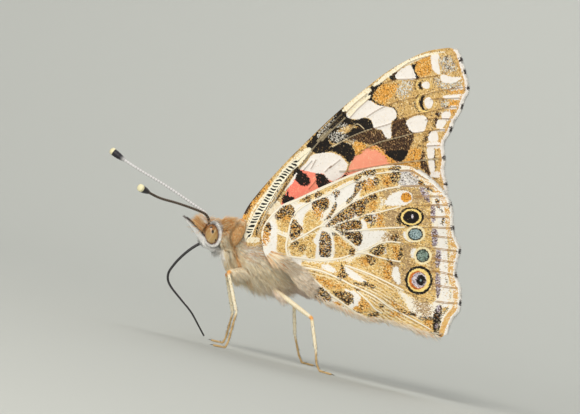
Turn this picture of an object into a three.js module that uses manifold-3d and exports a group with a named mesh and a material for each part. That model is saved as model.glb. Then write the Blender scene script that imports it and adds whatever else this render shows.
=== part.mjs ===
// A painted lady butterfly at life size, standing on four feet with its wings closed over its back.
// Millimetres, +Z up. The head points to -X and its left side faces -Y. It stands on the floor at z = 0,
// and the origin is at the bottom centre of its box.
//
// Places are read off a side view of the insect at life size: "across" grows from head to tail and "down"
// grows downwards, both in millimetres from one corner of that view. The third number is the distance to
// the insect's right of its mid-plane.
import * as THREE from "three";
import { mergeVertices } from "three/addons/utils/BufferGeometryUtils.js";
import Module from "manifold-3d";

const wasm = await Module();
wasm.setup();

// Driving dimensions
const FOREWING_LENGTH = 28.3; // hinge to apex
const FOREWING_HINGE = [25.0, 23.9];
const HINDWING_HINGE = [26.4, 24.9];
const LEAN = THREE.MathUtils.degToRad(14); // the side view is turned by this to stand on a level floor
const FLOOR = -28.2; // height of the floor below the corner of the side view
const GAP = 0.25; // clearance between parts that meet

const WING_THICKNESS = 0.5;
const VEIN_HEIGHT = 0.16;
const VEIN_SINK = 0.14;
const VEIN_STEP = 2.6;
const FOREWING_INSET = 0.42; // mid-plane of the insect to the middle of a forewing's blade
const HINDWING_INSET = 1.4;
const HINDWING_EDGE_INSET = 0.75; // beyond the forewing's rear edge the hindwings close up
const FOREWING_ROOT_SPREAD = 2.05;
const HINDWING_ROOT_SPREAD = 2.55;
const FOREWING_ROOT_REACH = 0.35 * FOREWING_LENGTH;
const HINDWING_ROOT_REACH = 0.32 * FOREWING_LENGTH;

const FEELER_RADIUS = 0.25;
const TONGUE_RADIUS = 0.25;
const LEG_RADIUS = 0.26;
const TOE_LENGTH = 1.5;
const TOE_SPLAY = 0.5;
const TOE_RIDE = 0.2; // height of a toe's centre line above the floor
const HEEL_HEIGHT = 0.75;

const LEFT = -1;
const RIGHT = 1;

// Colours
const paint = (color, roughness) => new THREE.MeshStandardMaterial({ color, roughness, metalness: 0 });
const MATERIALS = {
  forewing: paint(0xb98a55, 0.85),
  hindwing: paint(0xc2a36a, 0.85),
  fur: paint(0xb9a07c, 0.95),
  collar: paint(0xb5773a, 0.95),
  face: paint(0xd8d3cc, 0.9),
  eye: paint(0x9c7f4a, 0.2),
  feeler: paint(0x4a3a2c, 0.5),
  tongue: paint(0x1d1620, 0.3),
  leg: paint(0xe3cf9c, 0.5),
};

// From the side view to the part's own frame, before it is centred.
function at([across, down], toRight = 0) {
  return new THREE.Vector3(
    across * Math.cos(LEAN) + down * Math.sin(LEAN),
    toRight,
    across * Math.sin(LEAN) - down * Math.cos(LEAN),
  );
}

// The place in the side view that is a given height above the floor, at a given distance across.
function aboveFloor(across, height) {
  return [across, (across * Math.sin(LEAN) - FLOOR - height) / Math.cos(LEAN)];
}

const easeOff = (x) => 1 - THREE.MathUtils.smoothstep(x, 0, 1);

// Solids

function solidOf(positions, triangles) {
  const vertProperties = new Float32Array(positions);
  const triVerts = new Uint32Array(triangles);
  const made = new wasm.Manifold(new wasm.Mesh({ numProp: 3, vertProperties, triVerts }));
  if (made.volume() > 0) return made;
  for (let i = 0; i < triVerts.length; i += 3) {
    [triVerts[i + 1], triVerts[i + 2]] = [triVerts[i + 2], triVerts[i + 1]];
  }
  return new wasm.Manifold(new wasm.Mesh({ numProp: 3, vertProperties, triVerts }));
}

function solidOfGeometry(geometry) {
  const bare = geometry.clone();
  bare.deleteAttribute("normal");
  bare.deleteAttribute("uv");
  const merged = mergeVertices(bare, 1e-4);
  return solidOf(merged.attributes.position.array, merged.index.array);
}

function largestPiece(solid) {
  return solid.decompose().reduce((best, piece) => (piece.volume() > best.volume() ? piece : best));
}

const joinAll = (solids) => solids.reduce((whole, piece) => whole.add(piece));
const cutAll = (solid, cutters) => cutters.reduce((left, cutter) => left.subtract(cutter), solid);

// A closed skin over rings of points, with a point at the middle of each end.
function skinOver(rings) {
  const sides = rings[0].length;
  const centreOf = (ring) => ring.reduce((sum, p) => sum.add(p), new THREE.Vector3()).divideScalar(sides);
  const points = [...rings.flat(), centreOf(rings[0]), centreOf(rings.at(-1))];
  const triangles = [];
  for (let ring = 0; ring + 1 < rings.length; ring += 1) {
    for (let side = 0; side < sides; side += 1) {
      const here = ring * sides + side;
      const beside = ring * sides + ((side + 1) % sides);
      triangles.push(here, beside, here + sides, beside, beside + sides, here + sides);
    }
  }
  const last = (rings.length - 1) * sides;
  for (let side = 0; side < sides; side += 1) {
    const beside = (side + 1) % sides;
    triangles.push(points.length - 2, beside, side);
    triangles.push(points.length - 1, last + side, last + beside);
  }
  return solidOf(points.flatMap((p) => p.toArray()), triangles);
}

// A body or limb through stations. Each gives the place of its spine in the side view and to the right, how
// far the section reaches to the back and to the belly side of the spine, and its half width.
function limb(stations, { steps, sides, grow = 0 }) {
  const spine = new THREE.CatmullRomCurve3(stations.map((s) => at(s.place, s.toRight)));
  const girth = new THREE.CatmullRomCurve3(stations.map((s) => new THREE.Vector3(s.up, s.down, s.half)));
  const rings = [];
  for (let step = 0; step <= steps; step += 1) {
    const t = step / steps;
    const centre = spine.getPoint(t);
    const along = spine.getTangent(t);
    const back = along.clone().cross(new THREE.Vector3(0, 1, 0)).normalize();
    const aside = back.clone().cross(along);
    const reach = girth.getPoint(t);
    if (step === 0) centre.addScaledVector(along, -grow);
    if (step === steps) centre.addScaledVector(along, grow);
    const ring = [];
    for (let side = 0; side < sides; side += 1) {
      const turn = (2 * Math.PI * (side + 0.5)) / sides;
      const rise = Math.cos(turn);
      const high = (rise > 0 ? reach.x : reach.y) + grow;
      const wide = reach.z + grow;
      const point = centre.clone().addScaledVector(back, high * rise);
      ring.push(point.addScaledVector(aside, wide * Math.sin(turn)));
    }
    rings.push(ring);
  }
  return skinOver(rings);
}

const round = (place, toRight, radius) => ({ place, toRight, up: radius, down: radius, half: radius });

// An egg whose axes lie along and across a line in the side view that leans by tilt, in degrees.
function egg(place, toRight, [long, tall, wide], tilt, grow = 0, rows = 10) {
  const sphere = new THREE.SphereGeometry(1, 2 * rows - 4, rows);
  sphere.scale(long + grow, wide + grow, tall + grow);
  sphere.rotateY(THREE.MathUtils.degToRad(tilt) - LEAN);
  sphere.translate(...at(place, toRight).toArray());
  return solidOfGeometry(sphere);
}

// Wings

const FOREWING_OUTLINE = [
  [24.2, 22.6], [24.6, 21.0], [26.0, 19.1], [28.0, 16.85], [30.0, 14.8], [33.0, 11.9], [36.0, 9.3],
  [39.0, 7.0], [42.0, 5.4], [44.0, 4.9], [45.7, 4.85], [46.1, 5.6], [46.5, 6.9], [46.85, 8.2],
  [46.9, 9.2], [46.5, 10.0], [46.1, 11.2], [45.5, 12.2], [45.1, 13.2], [44.5, 14.2], [44.45, 15.1],
  [44.55, 16.0], [44.45, 17.1], [44.7, 18.2], [44.8, 19.3], [44.6, 20.3], [41.0, 21.3], [37.0, 22.2],
  [33.0, 23.2], [29.0, 24.2], [26.4, 24.9], [25.0, 24.9],
];
const HINDWING_OUTLINE = [
  [26.2, 23.5], [26.8, 21.9], [28.0, 20.6], [30.0, 19.7], [33.0, 18.3], [36.0, 17.05], [39.0, 16.55],
  [41.6, 16.85], [43.2, 17.9], [44.6, 19.4], [45.2, 20.7], [45.3, 22.0], [45.5, 23.5], [46.05, 24.9],
  [45.75, 26.2], [45.65, 27.4], [46.1, 28.8], [46.1, 30.2], [45.9, 31.2], [45.2, 32.1], [44.7, 33.5],
  [43.5, 33.7], [42.0, 33.35], [40.0, 32.6], [38.0, 32.15], [36.0, 31.8], [34.0, 31.0], [32.0, 30.05],
  [30.6, 29.0], [29.2, 27.5], [27.8, 26.2], [26.6, 25.6],
];

// Each vein runs from its root to its end. Widths are at the root and at the end.
const FOREWING_VEINS = [
  { name: "costa", wide: [0.7, 0.4],
    path: [[24.7, 22.7], [25.3, 20.6], [28.1, 17.1], [33.1, 12.2], [39.1, 7.3]] },
  { name: "subcosta", wide: [0.5, 0.3], path: [[24.6, 23.2], [26.2, 20.0], [29.0, 16.4], [34.4, 10.9]] },
  { name: "radius", wide: [0.6, 0.4],
    path: [[25.4, 23.6], [26.6, 21.3], [29.3, 17.4], [33.0, 13.2], [37.5, 9.3]] },
  { name: "radius_2", wide: [0.3, 0.3], path: [[33.0, 13.2], [37.0, 9.2], [41.0, 6.5]] },
  { name: "radius_4", wide: [0.3, 0.3], path: [[37.5, 9.3], [41.0, 7.7], [45.9, 6.4]] },
  { name: "radius_5", wide: [0.3, 0.3], path: [[37.5, 9.3], [41.5, 8.0], [46.3, 7.3]] },
  { name: "media_1", wide: [0.3, 0.3], path: [[33.6, 13.4], [37.8, 11.1], [41.2, 9.9], [46.7, 8.8]] },
  { name: "media_2", wide: [0.3, 0.3], path: [[33.6, 14.6], [36.0, 13.25], [41.2, 11.6], [46.0, 10.7]] },
  { name: "media_3", wide: [0.3, 0.3], path: [[35.5, 15.4], [38.0, 14.2], [42.5, 13.2], [45.0, 13.0]] },
  { name: "cubitus_1", wide: [0.3, 0.3], path: [[34.8, 17.1], [38.5, 16.5], [44.4, 15.75]] },
  { name: "cubitus_2", wide: [0.3, 0.3], path: [[31.5, 19.2], [37.0, 18.9], [44.6, 18.5]] },
  { name: "cubital_stem", wide: [0.5, 0.3],
    path: [[25.9, 23.9], [29.0, 20.9], [33.1, 18.1], [34.8, 17.1]] },
  { name: "cell_end", wide: [0.3, 0.3], path: [[33.0, 13.2], [33.6, 14.6], [35.5, 15.5], [34.8, 17.1]] },
  { name: "anal", wide: [0.4, 0.3], path: [[26.2, 24.3], [32.0, 22.4], [38.0, 20.9], [44.5, 19.9]] },
];
const HINDWING_VEINS = [
  { name: "costa", wide: [0.5, 0.35],
    path: [[26.5, 23.2], [28.2, 20.8], [33.1, 18.5], [39.0, 16.8], [43.0, 18.0]] },
  { name: "radius_1", wide: [0.5, 0.3],
    path: [[28.8, 24.6], [29.2, 22.1], [31.8, 19.85], [37.0, 17.65], [41.5, 17.3]] },
  { name: "sector", wide: [0.5, 0.3],
    path: [[28.0, 25.0], [32.0, 22.8], [35.5, 20.1], [39.5, 18.7], [44.4, 19.2]] },
  { name: "media_1", wide: [0.35, 0.3], path: [[32.8, 22.9], [35.0, 22.0], [40.0, 20.75], [45.0, 20.4]] },
  { name: "media_2", wide: [0.35, 0.3],
    path: [[33.1, 22.9], [36.2, 22.95], [42.5, 22.65], [45.3, 22.8]] },
  { name: "media_3", wide: [0.35, 0.3],
    path: [[33.1, 22.9], [36.1, 25.1], [39.0, 24.3], [42.5, 24.6], [45.9, 25.15]] },
  { name: "cubital_stem", wide: [0.5, 0.35],
    path: [[28.0, 25.3], [32.0, 25.85], [35.8, 25.45], [39.2, 26.0]] },
  { name: "cubitus_1", wide: [0.35, 0.3], path: [[39.2, 26.0], [43.0, 26.9], [45.6, 27.45]] },
  { name: "cubitus_2", wide: [0.35, 0.3],
    path: [[33.5, 26.0], [37.5, 27.6], [41.5, 29.6], [46.0, 30.35]] },
  { name: "anal_2", wide: [0.45, 0.3],
    path: [[28.4, 26.0], [33.0, 27.3], [37.5, 29.6], [41.0, 31.5], [44.0, 32.3]] },
  { name: "anal_3", wide: [0.45, 0.3], path: [[29.4, 26.9], [32.0, 28.3], [35.2, 30.9], [38.0, 31.8]] },
];
const MEMBRANE_RINGS = [0.18, 0.4, 0.62, 0.82, 1];

// The forewings part at the root, where they leave the sides of the thorax, and close beyond it.
function forewingSpread([across, down]) {
  const reach = Math.hypot(across - FOREWING_HINGE[0], down - FOREWING_HINGE[1]);
  return FOREWING_INSET + (FOREWING_ROOT_SPREAD - FOREWING_INSET) * easeOff(reach / FOREWING_ROOT_REACH);
}

const ABDOMEN = [
  { place: [29.5, 27.4], toRight: 0, up: 1.0, down: 1.0, half: 1.0 },
  { place: [30.6, 27.9], toRight: 0, up: 1.6, down: 1.5, half: 1.45 },
  { place: [32.4, 28.6], toRight: 0, up: 1.75, down: 1.6, half: 1.6 },
  { place: [34.6, 29.5], toRight: 0, up: 1.65, down: 1.5, half: 1.5 },
  { place: [36.6, 30.3], toRight: 0, up: 1.25, down: 1.15, half: 1.15 },
  { place: [38.4, 31.0], toRight: 0, up: 0.45, down: 0.45, half: 0.4 },
];
const ABDOMEN_SIDE_CLEAR = 2.25; // where a hindwing passes the widest of the abdomen
const ABDOMEN_CLEAR_REACH = 4.2;

// The hindwings lie outside the forewings, close up below them, and bow out round the abdomen.
function hindwingSpread([across, down]) {
  const reach = Math.hypot(across - HINDWING_HINGE[0], down - HINDWING_HINGE[1]);
  const belowForewing = down - THREE.MathUtils.mapLinear(across, 26.4, 44.6, 24.9, 20.3);
  const blade = HINDWING_EDGE_INSET
    + (HINDWING_INSET - HINDWING_EDGE_INSET) * easeOff((belowForewing - 0.3) / 6);
  const root = blade + (HINDWING_ROOT_SPREAD - blade) * easeOff(reach / HINDWING_ROOT_REACH);
  const axis = new THREE.Line3(new THREE.Vector3(28, 26.8, 0), new THREE.Vector3(36.6, 30.3, 0));
  const here = new THREE.Vector3(across, down, 0);
  const off = axis.closestPointToPoint(here, true, new THREE.Vector3()).distanceTo(here);
  const bow = blade + (ABDOMEN_SIDE_CLEAR - blade) * easeOff(off / ABDOMEN_CLEAR_REACH);
  return Math.max(root, bow);
}

// A wing blade: rings of points run out from the hinge to the outline, alike on both faces.
function membrane(outline, hinge, spread, side, thickness = WING_THICKNESS) {
  const points = [];
  const half = thickness / 2;
  const put = (place, out) => points.push(...at(place, side * (spread(place) + out)).toArray());
  const between = (place, share) => hinge.map((h, i) => h + (place[i] - h) * share);
  for (const out of [half, -half]) {
    put(hinge, out);
    for (const share of MEMBRANE_RINGS) outline.forEach((place) => put(between(place, share), out));
  }
  const count = outline.length;
  const face = 1 + MEMBRANE_RINGS.length * count;
  const triangles = [];
  for (let k = 0; k < count; k += 1) {
    const next = (k + 1) % count;
    triangles.push(0, 1 + k, 1 + next, face, face + 1 + next, face + 1 + k);
    for (let ring = 1; ring < MEMBRANE_RINGS.length; ring += 1) {
      const inner = 1 + (ring - 1) * count;
      const outer = inner + count;
      triangles.push(inner + k, outer + k, outer + next, inner + k, outer + next, inner + next);
      triangles.push(face + inner + k, face + outer + next, face + outer + k);
      triangles.push(face + inner + k, face + inner + next, face + outer + next);
    }
    const rim = 1 + (MEMBRANE_RINGS.length - 1) * count;
    triangles.push(rim + k, face + rim + k, face + rim + next, rim + k, face + rim + next, rim + next);
  }
  return solidOf(points, triangles);
}

// A vein is a ridge with a triangular section, its two feet sunk in the outer face of the blade.
function veinRidge(vein, spread, side) {
  const curve = new THREE.CatmullRomCurve3(vein.path.map((place) => new THREE.Vector3(...place, 0)));
  const steps = Math.max(2, Math.round(curve.getLength() / VEIN_STEP));
  const rings = [];
  for (let step = 0; step <= steps; step += 1) {
    const p = curve.getPoint(step / steps);
    const along = curve.getTangent(step / steps);
    const half = THREE.MathUtils.lerp(vein.wide[0], vein.wide[1], step / steps) / 2;
    const feet = [half, -half].map((h) => [p.x - along.y * h, p.y + along.x * h]);
    const face = WING_THICKNESS / 2;
    rings.push([
      at([p.x, p.y], side * (spread([p.x, p.y]) + face + VEIN_HEIGHT)),
      ...feet.map((foot) => at(foot, side * (spread(foot) + face - VEIN_SINK))),
    ]);
  }
  return skinOver(rings);
}

function wing(outline, hinge, spread, veins, side) {
  const ridges = veins.map((vein) => veinRidge(vein, spread, side));
  return joinAll([membrane(outline, hinge, spread, side), ...ridges]);
}

// Body

const THORAX = [
  { place: [22.9, 24.15], toRight: 0, up: 1.2, down: 1.2, half: 1.2 },
  { place: [23.6, 24.4], toRight: 0, up: 2.4, down: 2.2, half: 1.95 },
  { place: [25.2, 25.1], toRight: 0, up: 3.0, down: 2.9, half: 2.35 },
  { place: [27.0, 26.0], toRight: 0, up: 2.9, down: 2.75, half: 2.3 },
  { place: [28.5, 26.8], toRight: 0, up: 1.9, down: 1.9, half: 1.7 },
  { place: [29.2, 27.2], toRight: 0, up: 1.0, down: 1.0, half: 1.0 },
];
const PROTHORAX = [
  { place: [21.95, 23.75], toRight: 0, up: 1.3, down: 0.7, half: 1.0 },
  { place: [22.25, 23.8], toRight: 0, up: 2.0, down: 1.1, half: 1.45 },
  { place: [22.7, 23.95], toRight: 0, up: 2.2, down: 1.2, half: 1.65 },
  { place: [23.2, 24.1], toRight: 0, up: 2.0, down: 1.1, half: 1.5 },
];
const ABDOMEN_SEGMENTS = 7;
const GROOVE_GIRTH = 0.92; // share of the abdomen's girth that is left between two segments

const thoraxCore = (grow = 0) => limb(THORAX, { steps: 9, sides: 18, grow });
const prothoraxCore = (grow = 0) => limb(PROTHORAX, { steps: 4, sides: 14, grow });
const abdomenRoomCore = () => limb(ABDOMEN, { steps: 8, sides: 14, grow: GAP });

// The abdomen narrows a little between its segments.
function abdomenCore() {
  const spine = new THREE.CatmullRomCurve3(ABDOMEN.map((s) => new THREE.Vector3(...s.place, 0)));
  const girth = new THREE.CatmullRomCurve3(ABDOMEN.map((s) => new THREE.Vector3(s.up, s.down, s.half)));
  const stations = [];
  for (let ring = 0; ring < 2 * ABDOMEN_SEGMENTS; ring += 1) {
    const t = ring / (2 * ABDOMEN_SEGMENTS - 1);
    const inGroove = ring % 2 === 0 && ring > 0;
    const place = spine.getPoint(t);
    const reach = girth.getPoint(t).multiplyScalar(inGroove ? GROOVE_GIRTH : 1);
    stations.push({ place: [place.x, place.y], toRight: 0, up: reach.x, down: reach.y, half: reach.z });
  }
  return limb(stations, { steps: stations.length - 1, sides: 14 });
}

// Head

const HEAD = { place: [21.0, 23.5], radii: [0.95, 1.4, 1.4], tilt: 20 };
const EYE = { place: [21.2, 23.4], toRight: 1.15, radii: [0.72, 1.03, 0.8], tilt: -4 };
const headCore = (grow = 0) => egg(HEAD.place, 0, HEAD.radii, HEAD.tilt, grow, 12);
const eyeBall = (side, grow = 0) => egg(EYE.place, side * EYE.toRight, EYE.radii, EYE.tilt, grow);

const palpPath = (side) => [
  { place: [20.7, 25.15], toRight: side * 0.85, up: 0.3, down: 0.3, half: 0.22 },
  { place: [20.2, 24.55], toRight: side * 0.9, up: 0.42, down: 0.45, half: 0.3 },
  { place: [19.55, 23.6], toRight: side * 0.88, up: 0.42, down: 0.42, half: 0.32 },
  { place: [19.0, 22.75], toRight: side * 0.75, up: 0.35, down: 0.35, half: 0.28 },
  { place: [18.6, 22.15], toRight: side * 0.6, up: 0.2, down: 0.2, half: 0.2 },
  { place: [18.2, 21.6], toRight: side * 0.5, up: 0.1, down: 0.1, half: 0.1 },
];
const palp = (side, grow = 0) => limb(palpPath(side), { steps: 9, sides: 8, grow });

// Each feeler runs from the head to its club: across, down and to the right.
const FEELER_PATHS = {
  left: [
    [21.0, 22.3, -0.6], [20.7, 21.55, -0.95], [20.0, 21.1, -1.8], [18.0, 20.35, -4.2],
    [16.2, 19.8, -6.3], [14.9, 19.1, -8.1], [14.3, 18.75, -9.0],
  ],
  right: [
    [20.9, 22.3, 0.6], [20.5, 21.3, 0.85], [19.4, 20.5, 1.1], [16.6, 18.6, 1.7],
    [13.6, 16.8, 2.3], [11.9, 15.65, 2.6], [10.9, 14.9, 2.8],
  ],
};
const CLUB_GIRTH = [1, 1, 1, 1, 1, 1.6, 1.35];

function feeler(path) {
  const stations = path.map(([across, down, toRight], i) => (
    round([across, down], toRight, FEELER_RADIUS * CLUB_GIRTH[i])
  ));
  return limb(stations, { steps: 14, sides: 7 });
}

// The tongue is half uncoiled and reaches down in front of the feet.
const TONGUE = {
  upper: [[20.5, 24.2], [19.6, 24.7], [18.3, 25.8], [17.2, 26.75]],
  bend: [[17.0, 26.95], [16.75, 27.4], [16.75, 28.1], [17.1, 28.65]],
  lower: [[17.3, 28.9], [18.1, 29.95], [19.1, 31.2], [20.0, 32.85], [20.4, 33.6]],
};

function tongueLength(path, grow = 0) {
  const stations = path.map((place) => round(place, 0, TONGUE_RADIUS));
  return limb(stations, { steps: 5, sides: 7, grow });
}

const TEGULA = { place: [23.75, 23.1], toRight: 2.5, radii: [0.62, 1.5, 0.4], tilt: -22 };

function tegula(side, grow = 0) {
  return egg(TEGULA.place, side * TEGULA.toRight, TEGULA.radii, TEGULA.tilt, grow, 9);
}

// The forelegs are short brushes, folded up against the chest.
const forelegPath = (side) => [
  { place: [22.5, 24.9], toRight: side * 1.3, up: 0.3, down: 0.3, half: 0.3 },
  { place: [22.55, 25.8], toRight: side * 1.55, up: 0.33, down: 0.33, half: 0.33 },
  { place: [22.9, 26.7], toRight: side * 1.4, up: 0.3, down: 0.3, half: 0.3 },
  { place: [23.7, 27.8], toRight: side * 1.0, up: 0.2, down: 0.2, half: 0.2 },
];
const foreleg = (side, grow = 0) => limb(forelegPath(side), { steps: 6, sides: 8, grow });

// Walking legs: hip, knee and ankle, the toe's place across the floor, and the way that the toe points.
const LEGS = [
  { pair: "mid", side: "left", hip: [25.4, 27.6, -1.2], knee: [22.9, 27.15, -3.4],
    ankle: [23.7, 31.1, -4.1], toe: [22.9, -4.5], turn: -1 },
  { pair: "mid", side: "right", hip: [25.4, 27.6, 1.2], knee: [22.6, 27.5, 3.3],
    ankle: [23.2, 31.4, 4.0], toe: [22.5, 4.5], turn: -1 },
  { pair: "hind", side: "left", hip: [27.2, 28.3, -1.1], knee: [31.15, 31.7, -3.3],
    ankle: [31.55, 34.8, -4.1], toe: [31.6, -4.4], turn: 1 },
  { pair: "hind", side: "right", hip: [27.2, 28.3, 1.1], knee: [29.4, 30.6, 3.4],
    ankle: [29.5, 33.7, 4.2], toe: [29.9, 4.6], turn: 1 },
];
// Share of the way from one joint to the next, and the radius there. The end past 1 rounds the joint off.
const FEMUR_GIRTH = [[0, 0.32], [0.35, 0.36], [0.8, 0.31], [1, 0.3], [1.05, 0.18]];
const TIBIA_GIRTH = [[0, 0.26], [0.5, 0.27], [1, 0.27], [1.05, 0.16]];
const LEG_FACETS = 8;

function legLength(from, to, girth, grow) {
  const a = at([from[0], from[1]], from[2]);
  const b = at([to[0], to[1]], to[2]);
  const along = b.clone().sub(a);
  const length = along.length();
  along.normalize();
  const aside = along.clone().cross(new THREE.Vector3(0, 1, 0)).normalize();
  const across = aside.clone().cross(along);
  const rings = girth.map(([share, radius], i) => {
    const extra = i === girth.length - 1 ? grow : 0;
    const centre = a.clone().addScaledVector(along, share * length + extra);
    return Array.from({ length: LEG_FACETS }, (_, facet) => {
      const turn = (2 * Math.PI * (facet + 0.5)) / LEG_FACETS;
      return centre.clone()
        .addScaledVector(aside, (radius + grow) * Math.cos(turn))
        .addScaledVector(across, (radius + grow) * Math.sin(turn));
    });
  });
  return skinOver(rings);
}

const femur = (leg, grow = 0) => legLength(leg.hip, leg.knee, FEMUR_GIRTH, grow);
const tibia = (leg, grow = 0) => legLength(leg.knee, leg.ankle, TIBIA_GIRTH, grow);

// The foot comes down steeply, then lies along the floor on a flat sole.
function tarsus(leg) {
  const [across, toRight] = leg.toe;
  const heel = aboveFloor(across, HEEL_HEIGHT);
  const outward = Math.sign(toRight) * TOE_SPLAY;
  const sole = (share) => aboveFloor(across + leg.turn * TOE_LENGTH * share, TOE_RIDE);
  const stations = [
    round([leg.ankle[0], leg.ankle[1]], leg.ankle[2], LEG_RADIUS),
    round(heel, toRight, LEG_RADIUS),
    round(sole(0.25), toRight + 0.25 * outward, LEG_RADIUS),
    round(sole(1), toRight + outward, LEG_RADIUS),
  ];
  const ground = new THREE.BoxGeometry(60, 40, 10);
  ground.translate(30, 0, FLOOR - 5);
  return limb(stations, { steps: 9, sides: LEG_FACETS }).subtract(solidOfGeometry(ground));
}

// Hair: flat locks that taper to a point

let drawn = 7;
function draw() {
  drawn = (drawn * 16807) % 2147483647; // a small seeded generator
  return drawn / 2147483647;
}

const LOCK_ROOT = 0.35; // how deep a lock starts below the body's surface
const BACK_AND_DOWN = at([0.82, 0.57]).normalize();
const FORWARD_AND_UP = at([-0.75, -0.4]).normalize();

function lock(root, normal, lie, { length, wide, thick, lift }) {
  const aside = normal.clone().cross(lie).normalize();
  const rings = [0, 0.35, 0.7, 1].map((t) => {
    const centre = root.clone()
      .addScaledVector(normal, -LOCK_ROOT + (LOCK_ROOT + lift) * Math.sqrt(t))
      .addScaledVector(lie, length * t);
    const halfWide = (wide / 2) * (1 - 0.85 * t * t);
    const halfThick = (thick / 2) * (1 - 0.6 * t);
    return [
      centre.clone().addScaledVector(aside, halfWide),
      centre.clone().addScaledVector(normal, halfThick),
      centre.clone().addScaledVector(aside, -halfWide),
      centre.clone().addScaledVector(normal, -halfThick),
    ];
  });
  return skinOver(rings);
}

// Rows of long hair run along the thorax: how far each is turned round from the back, in degrees, and
// where along the thorax it starts and ends.
const HAIR_ROWS = [
  { turn: 112, from: 0.16, to: 0.6, count: 5, length: 2.5, lift: 0.12 },
  { turn: 146, from: 0.12, to: 0.78, count: 6, length: 3.1, lift: 0.25 },
  { turn: 180, from: 0.14, to: 0.88, count: 7, length: 3.3, lift: 0.4 },
];
const HAIR_LOCK = { wide: 1.15, thick: 0.34 };

function thoraxHair() {
  const spine = new THREE.CatmullRomCurve3(THORAX.map((s) => at(s.place)));
  const girth = new THREE.CatmullRomCurve3(THORAX.map((s) => new THREE.Vector3(s.up, s.down, s.half)));
  const locks = [];
  for (const row of HAIR_ROWS) {
    const turn = THREE.MathUtils.degToRad(row.turn);
    const flanks = row.turn === 180 ? [0] : [LEFT, RIGHT];
    for (let i = 0; i < row.count; i += 1) {
      for (const flank of flanks) {
        const t = THREE.MathUtils.lerp(row.from, row.to, (i + 0.3 * draw()) / (row.count - 0.7));
        const back = spine.getTangent(t).cross(new THREE.Vector3(0, 1, 0));
        const reach = girth.getPoint(t);
        const rise = Math.cos(turn) * reach.y;
        const aside = flank * Math.sin(turn) * reach.z;
        const root = spine.getPoint(t).addScaledVector(back, rise).add(new THREE.Vector3(0, aside, 0));
        const normal = back.multiplyScalar(Math.cos(turn));
        normal.y += flank * Math.sin(turn);
        const length = row.length * (0.85 + 0.3 * draw());
        locks.push(lock(root, normal.normalize(), BACK_AND_DOWN, { ...HAIR_LOCK, length, lift: row.lift }));
      }
    }
  }
  return locks;
}

// A tuft on the brow, between the feelers and the palps.
const BROW_LOCKS = [
  [20.35, 22.95, -0.5], [20.35, 22.95, 0.5],
  [20.6, 22.45, 0], [20.25, 23.0, 0], [20.15, 23.45, 0],
];
const BROW_LOCK = { length: 1.15, wide: 0.7, thick: 0.34, lift: 0 };

function browHair() {
  return BROW_LOCKS.map(([across, down, toRight]) => (
    lock(at([across, down], toRight), at([-0.5, -0.85]).normalize(), FORWARD_AND_UP, BROW_LOCK)
  ));
}

// Assembly

const insect = new THREE.Group();

function addPart(name, solid, material) {
  const mesh = largestPiece(solid).getMesh();
  const geometry = new THREE.BufferGeometry();
  geometry.setAttribute("position", new THREE.BufferAttribute(new Float32Array(mesh.vertProperties), 3));
  geometry.setIndex(new THREE.BufferAttribute(new Uint32Array(mesh.triVerts), 1));
  geometry.computeVertexNormals();
  const part = new THREE.Mesh(geometry, material);
  part.name = name;
  insect.add(part);
}

const SIDES = { left: LEFT, right: RIGHT };
const bothSides = (make) => Object.values(SIDES).map(make);
const WING_ROOM = WING_THICKNESS + 2 * (VEIN_HEIGHT + GAP);
const forewingRoom = (side) => membrane(FOREWING_OUTLINE, FOREWING_HINGE, forewingSpread, side, WING_ROOM);
const hindwingRoom = (side) => membrane(HINDWING_OUTLINE, HINDWING_HINGE, hindwingSpread, side, WING_ROOM);

const thoraxRoom = thoraxCore(GAP);
const prothoraxRoom = prothoraxCore(GAP);
const abdomenRoom = abdomenRoomCore();
const headRoom = headCore(GAP);
const tongueRoom = tongueLength(TONGUE.upper, GAP);
const eyeRooms = bothSides((side) => eyeBall(side, GAP));

addPart("prothorax", cutAll(prothoraxCore(), [thoraxRoom, headRoom]), MATERIALS.collar);
addPart("abdomen", cutAll(abdomenCore(), [thoraxRoom]), MATERIALS.fur);

// The hair is cut clear of what it hangs beside, and the body that it grows from is left whole.
const thorax = thoraxCore();
const besideHair = joinAll([
  ...LEGS.map((leg) => femur(leg, GAP)),
  ...bothSides((side) => foreleg(side, GAP)),
  ...bothSides((side) => tegula(side, GAP)),
  ...bothSides(forewingRoom),
  ...bothSides(hindwingRoom),
  abdomenRoom,
]).subtract(thorax);
addPart("thorax", joinAll([thorax, ...thoraxHair()]).subtract(besideHair), MATERIALS.fur);

const besideBrow = joinAll([
  ...eyeRooms,
  ...Object.values(FEELER_PATHS).map((path) => limb(
    path.map(([across, down, toRight]) => round([across, down], toRight, FEELER_RADIUS)),
    { steps: 10, sides: 7, grow: GAP },
  )),
  ...bothSides((side) => palp(side, GAP)),
]).subtract(headCore());
const head = cutAll(headCore(), eyeRooms);
addPart("head", joinAll([head, ...browHair()]).subtract(besideBrow), MATERIALS.face);

addPart("proboscis_upper", cutAll(tongueLength(TONGUE.upper), [headRoom]), MATERIALS.tongue);
addPart("proboscis_bend", tongueLength(TONGUE.bend), MATERIALS.tongue);
addPart("proboscis_lower", tongueLength(TONGUE.lower), MATERIALS.tongue);

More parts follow.
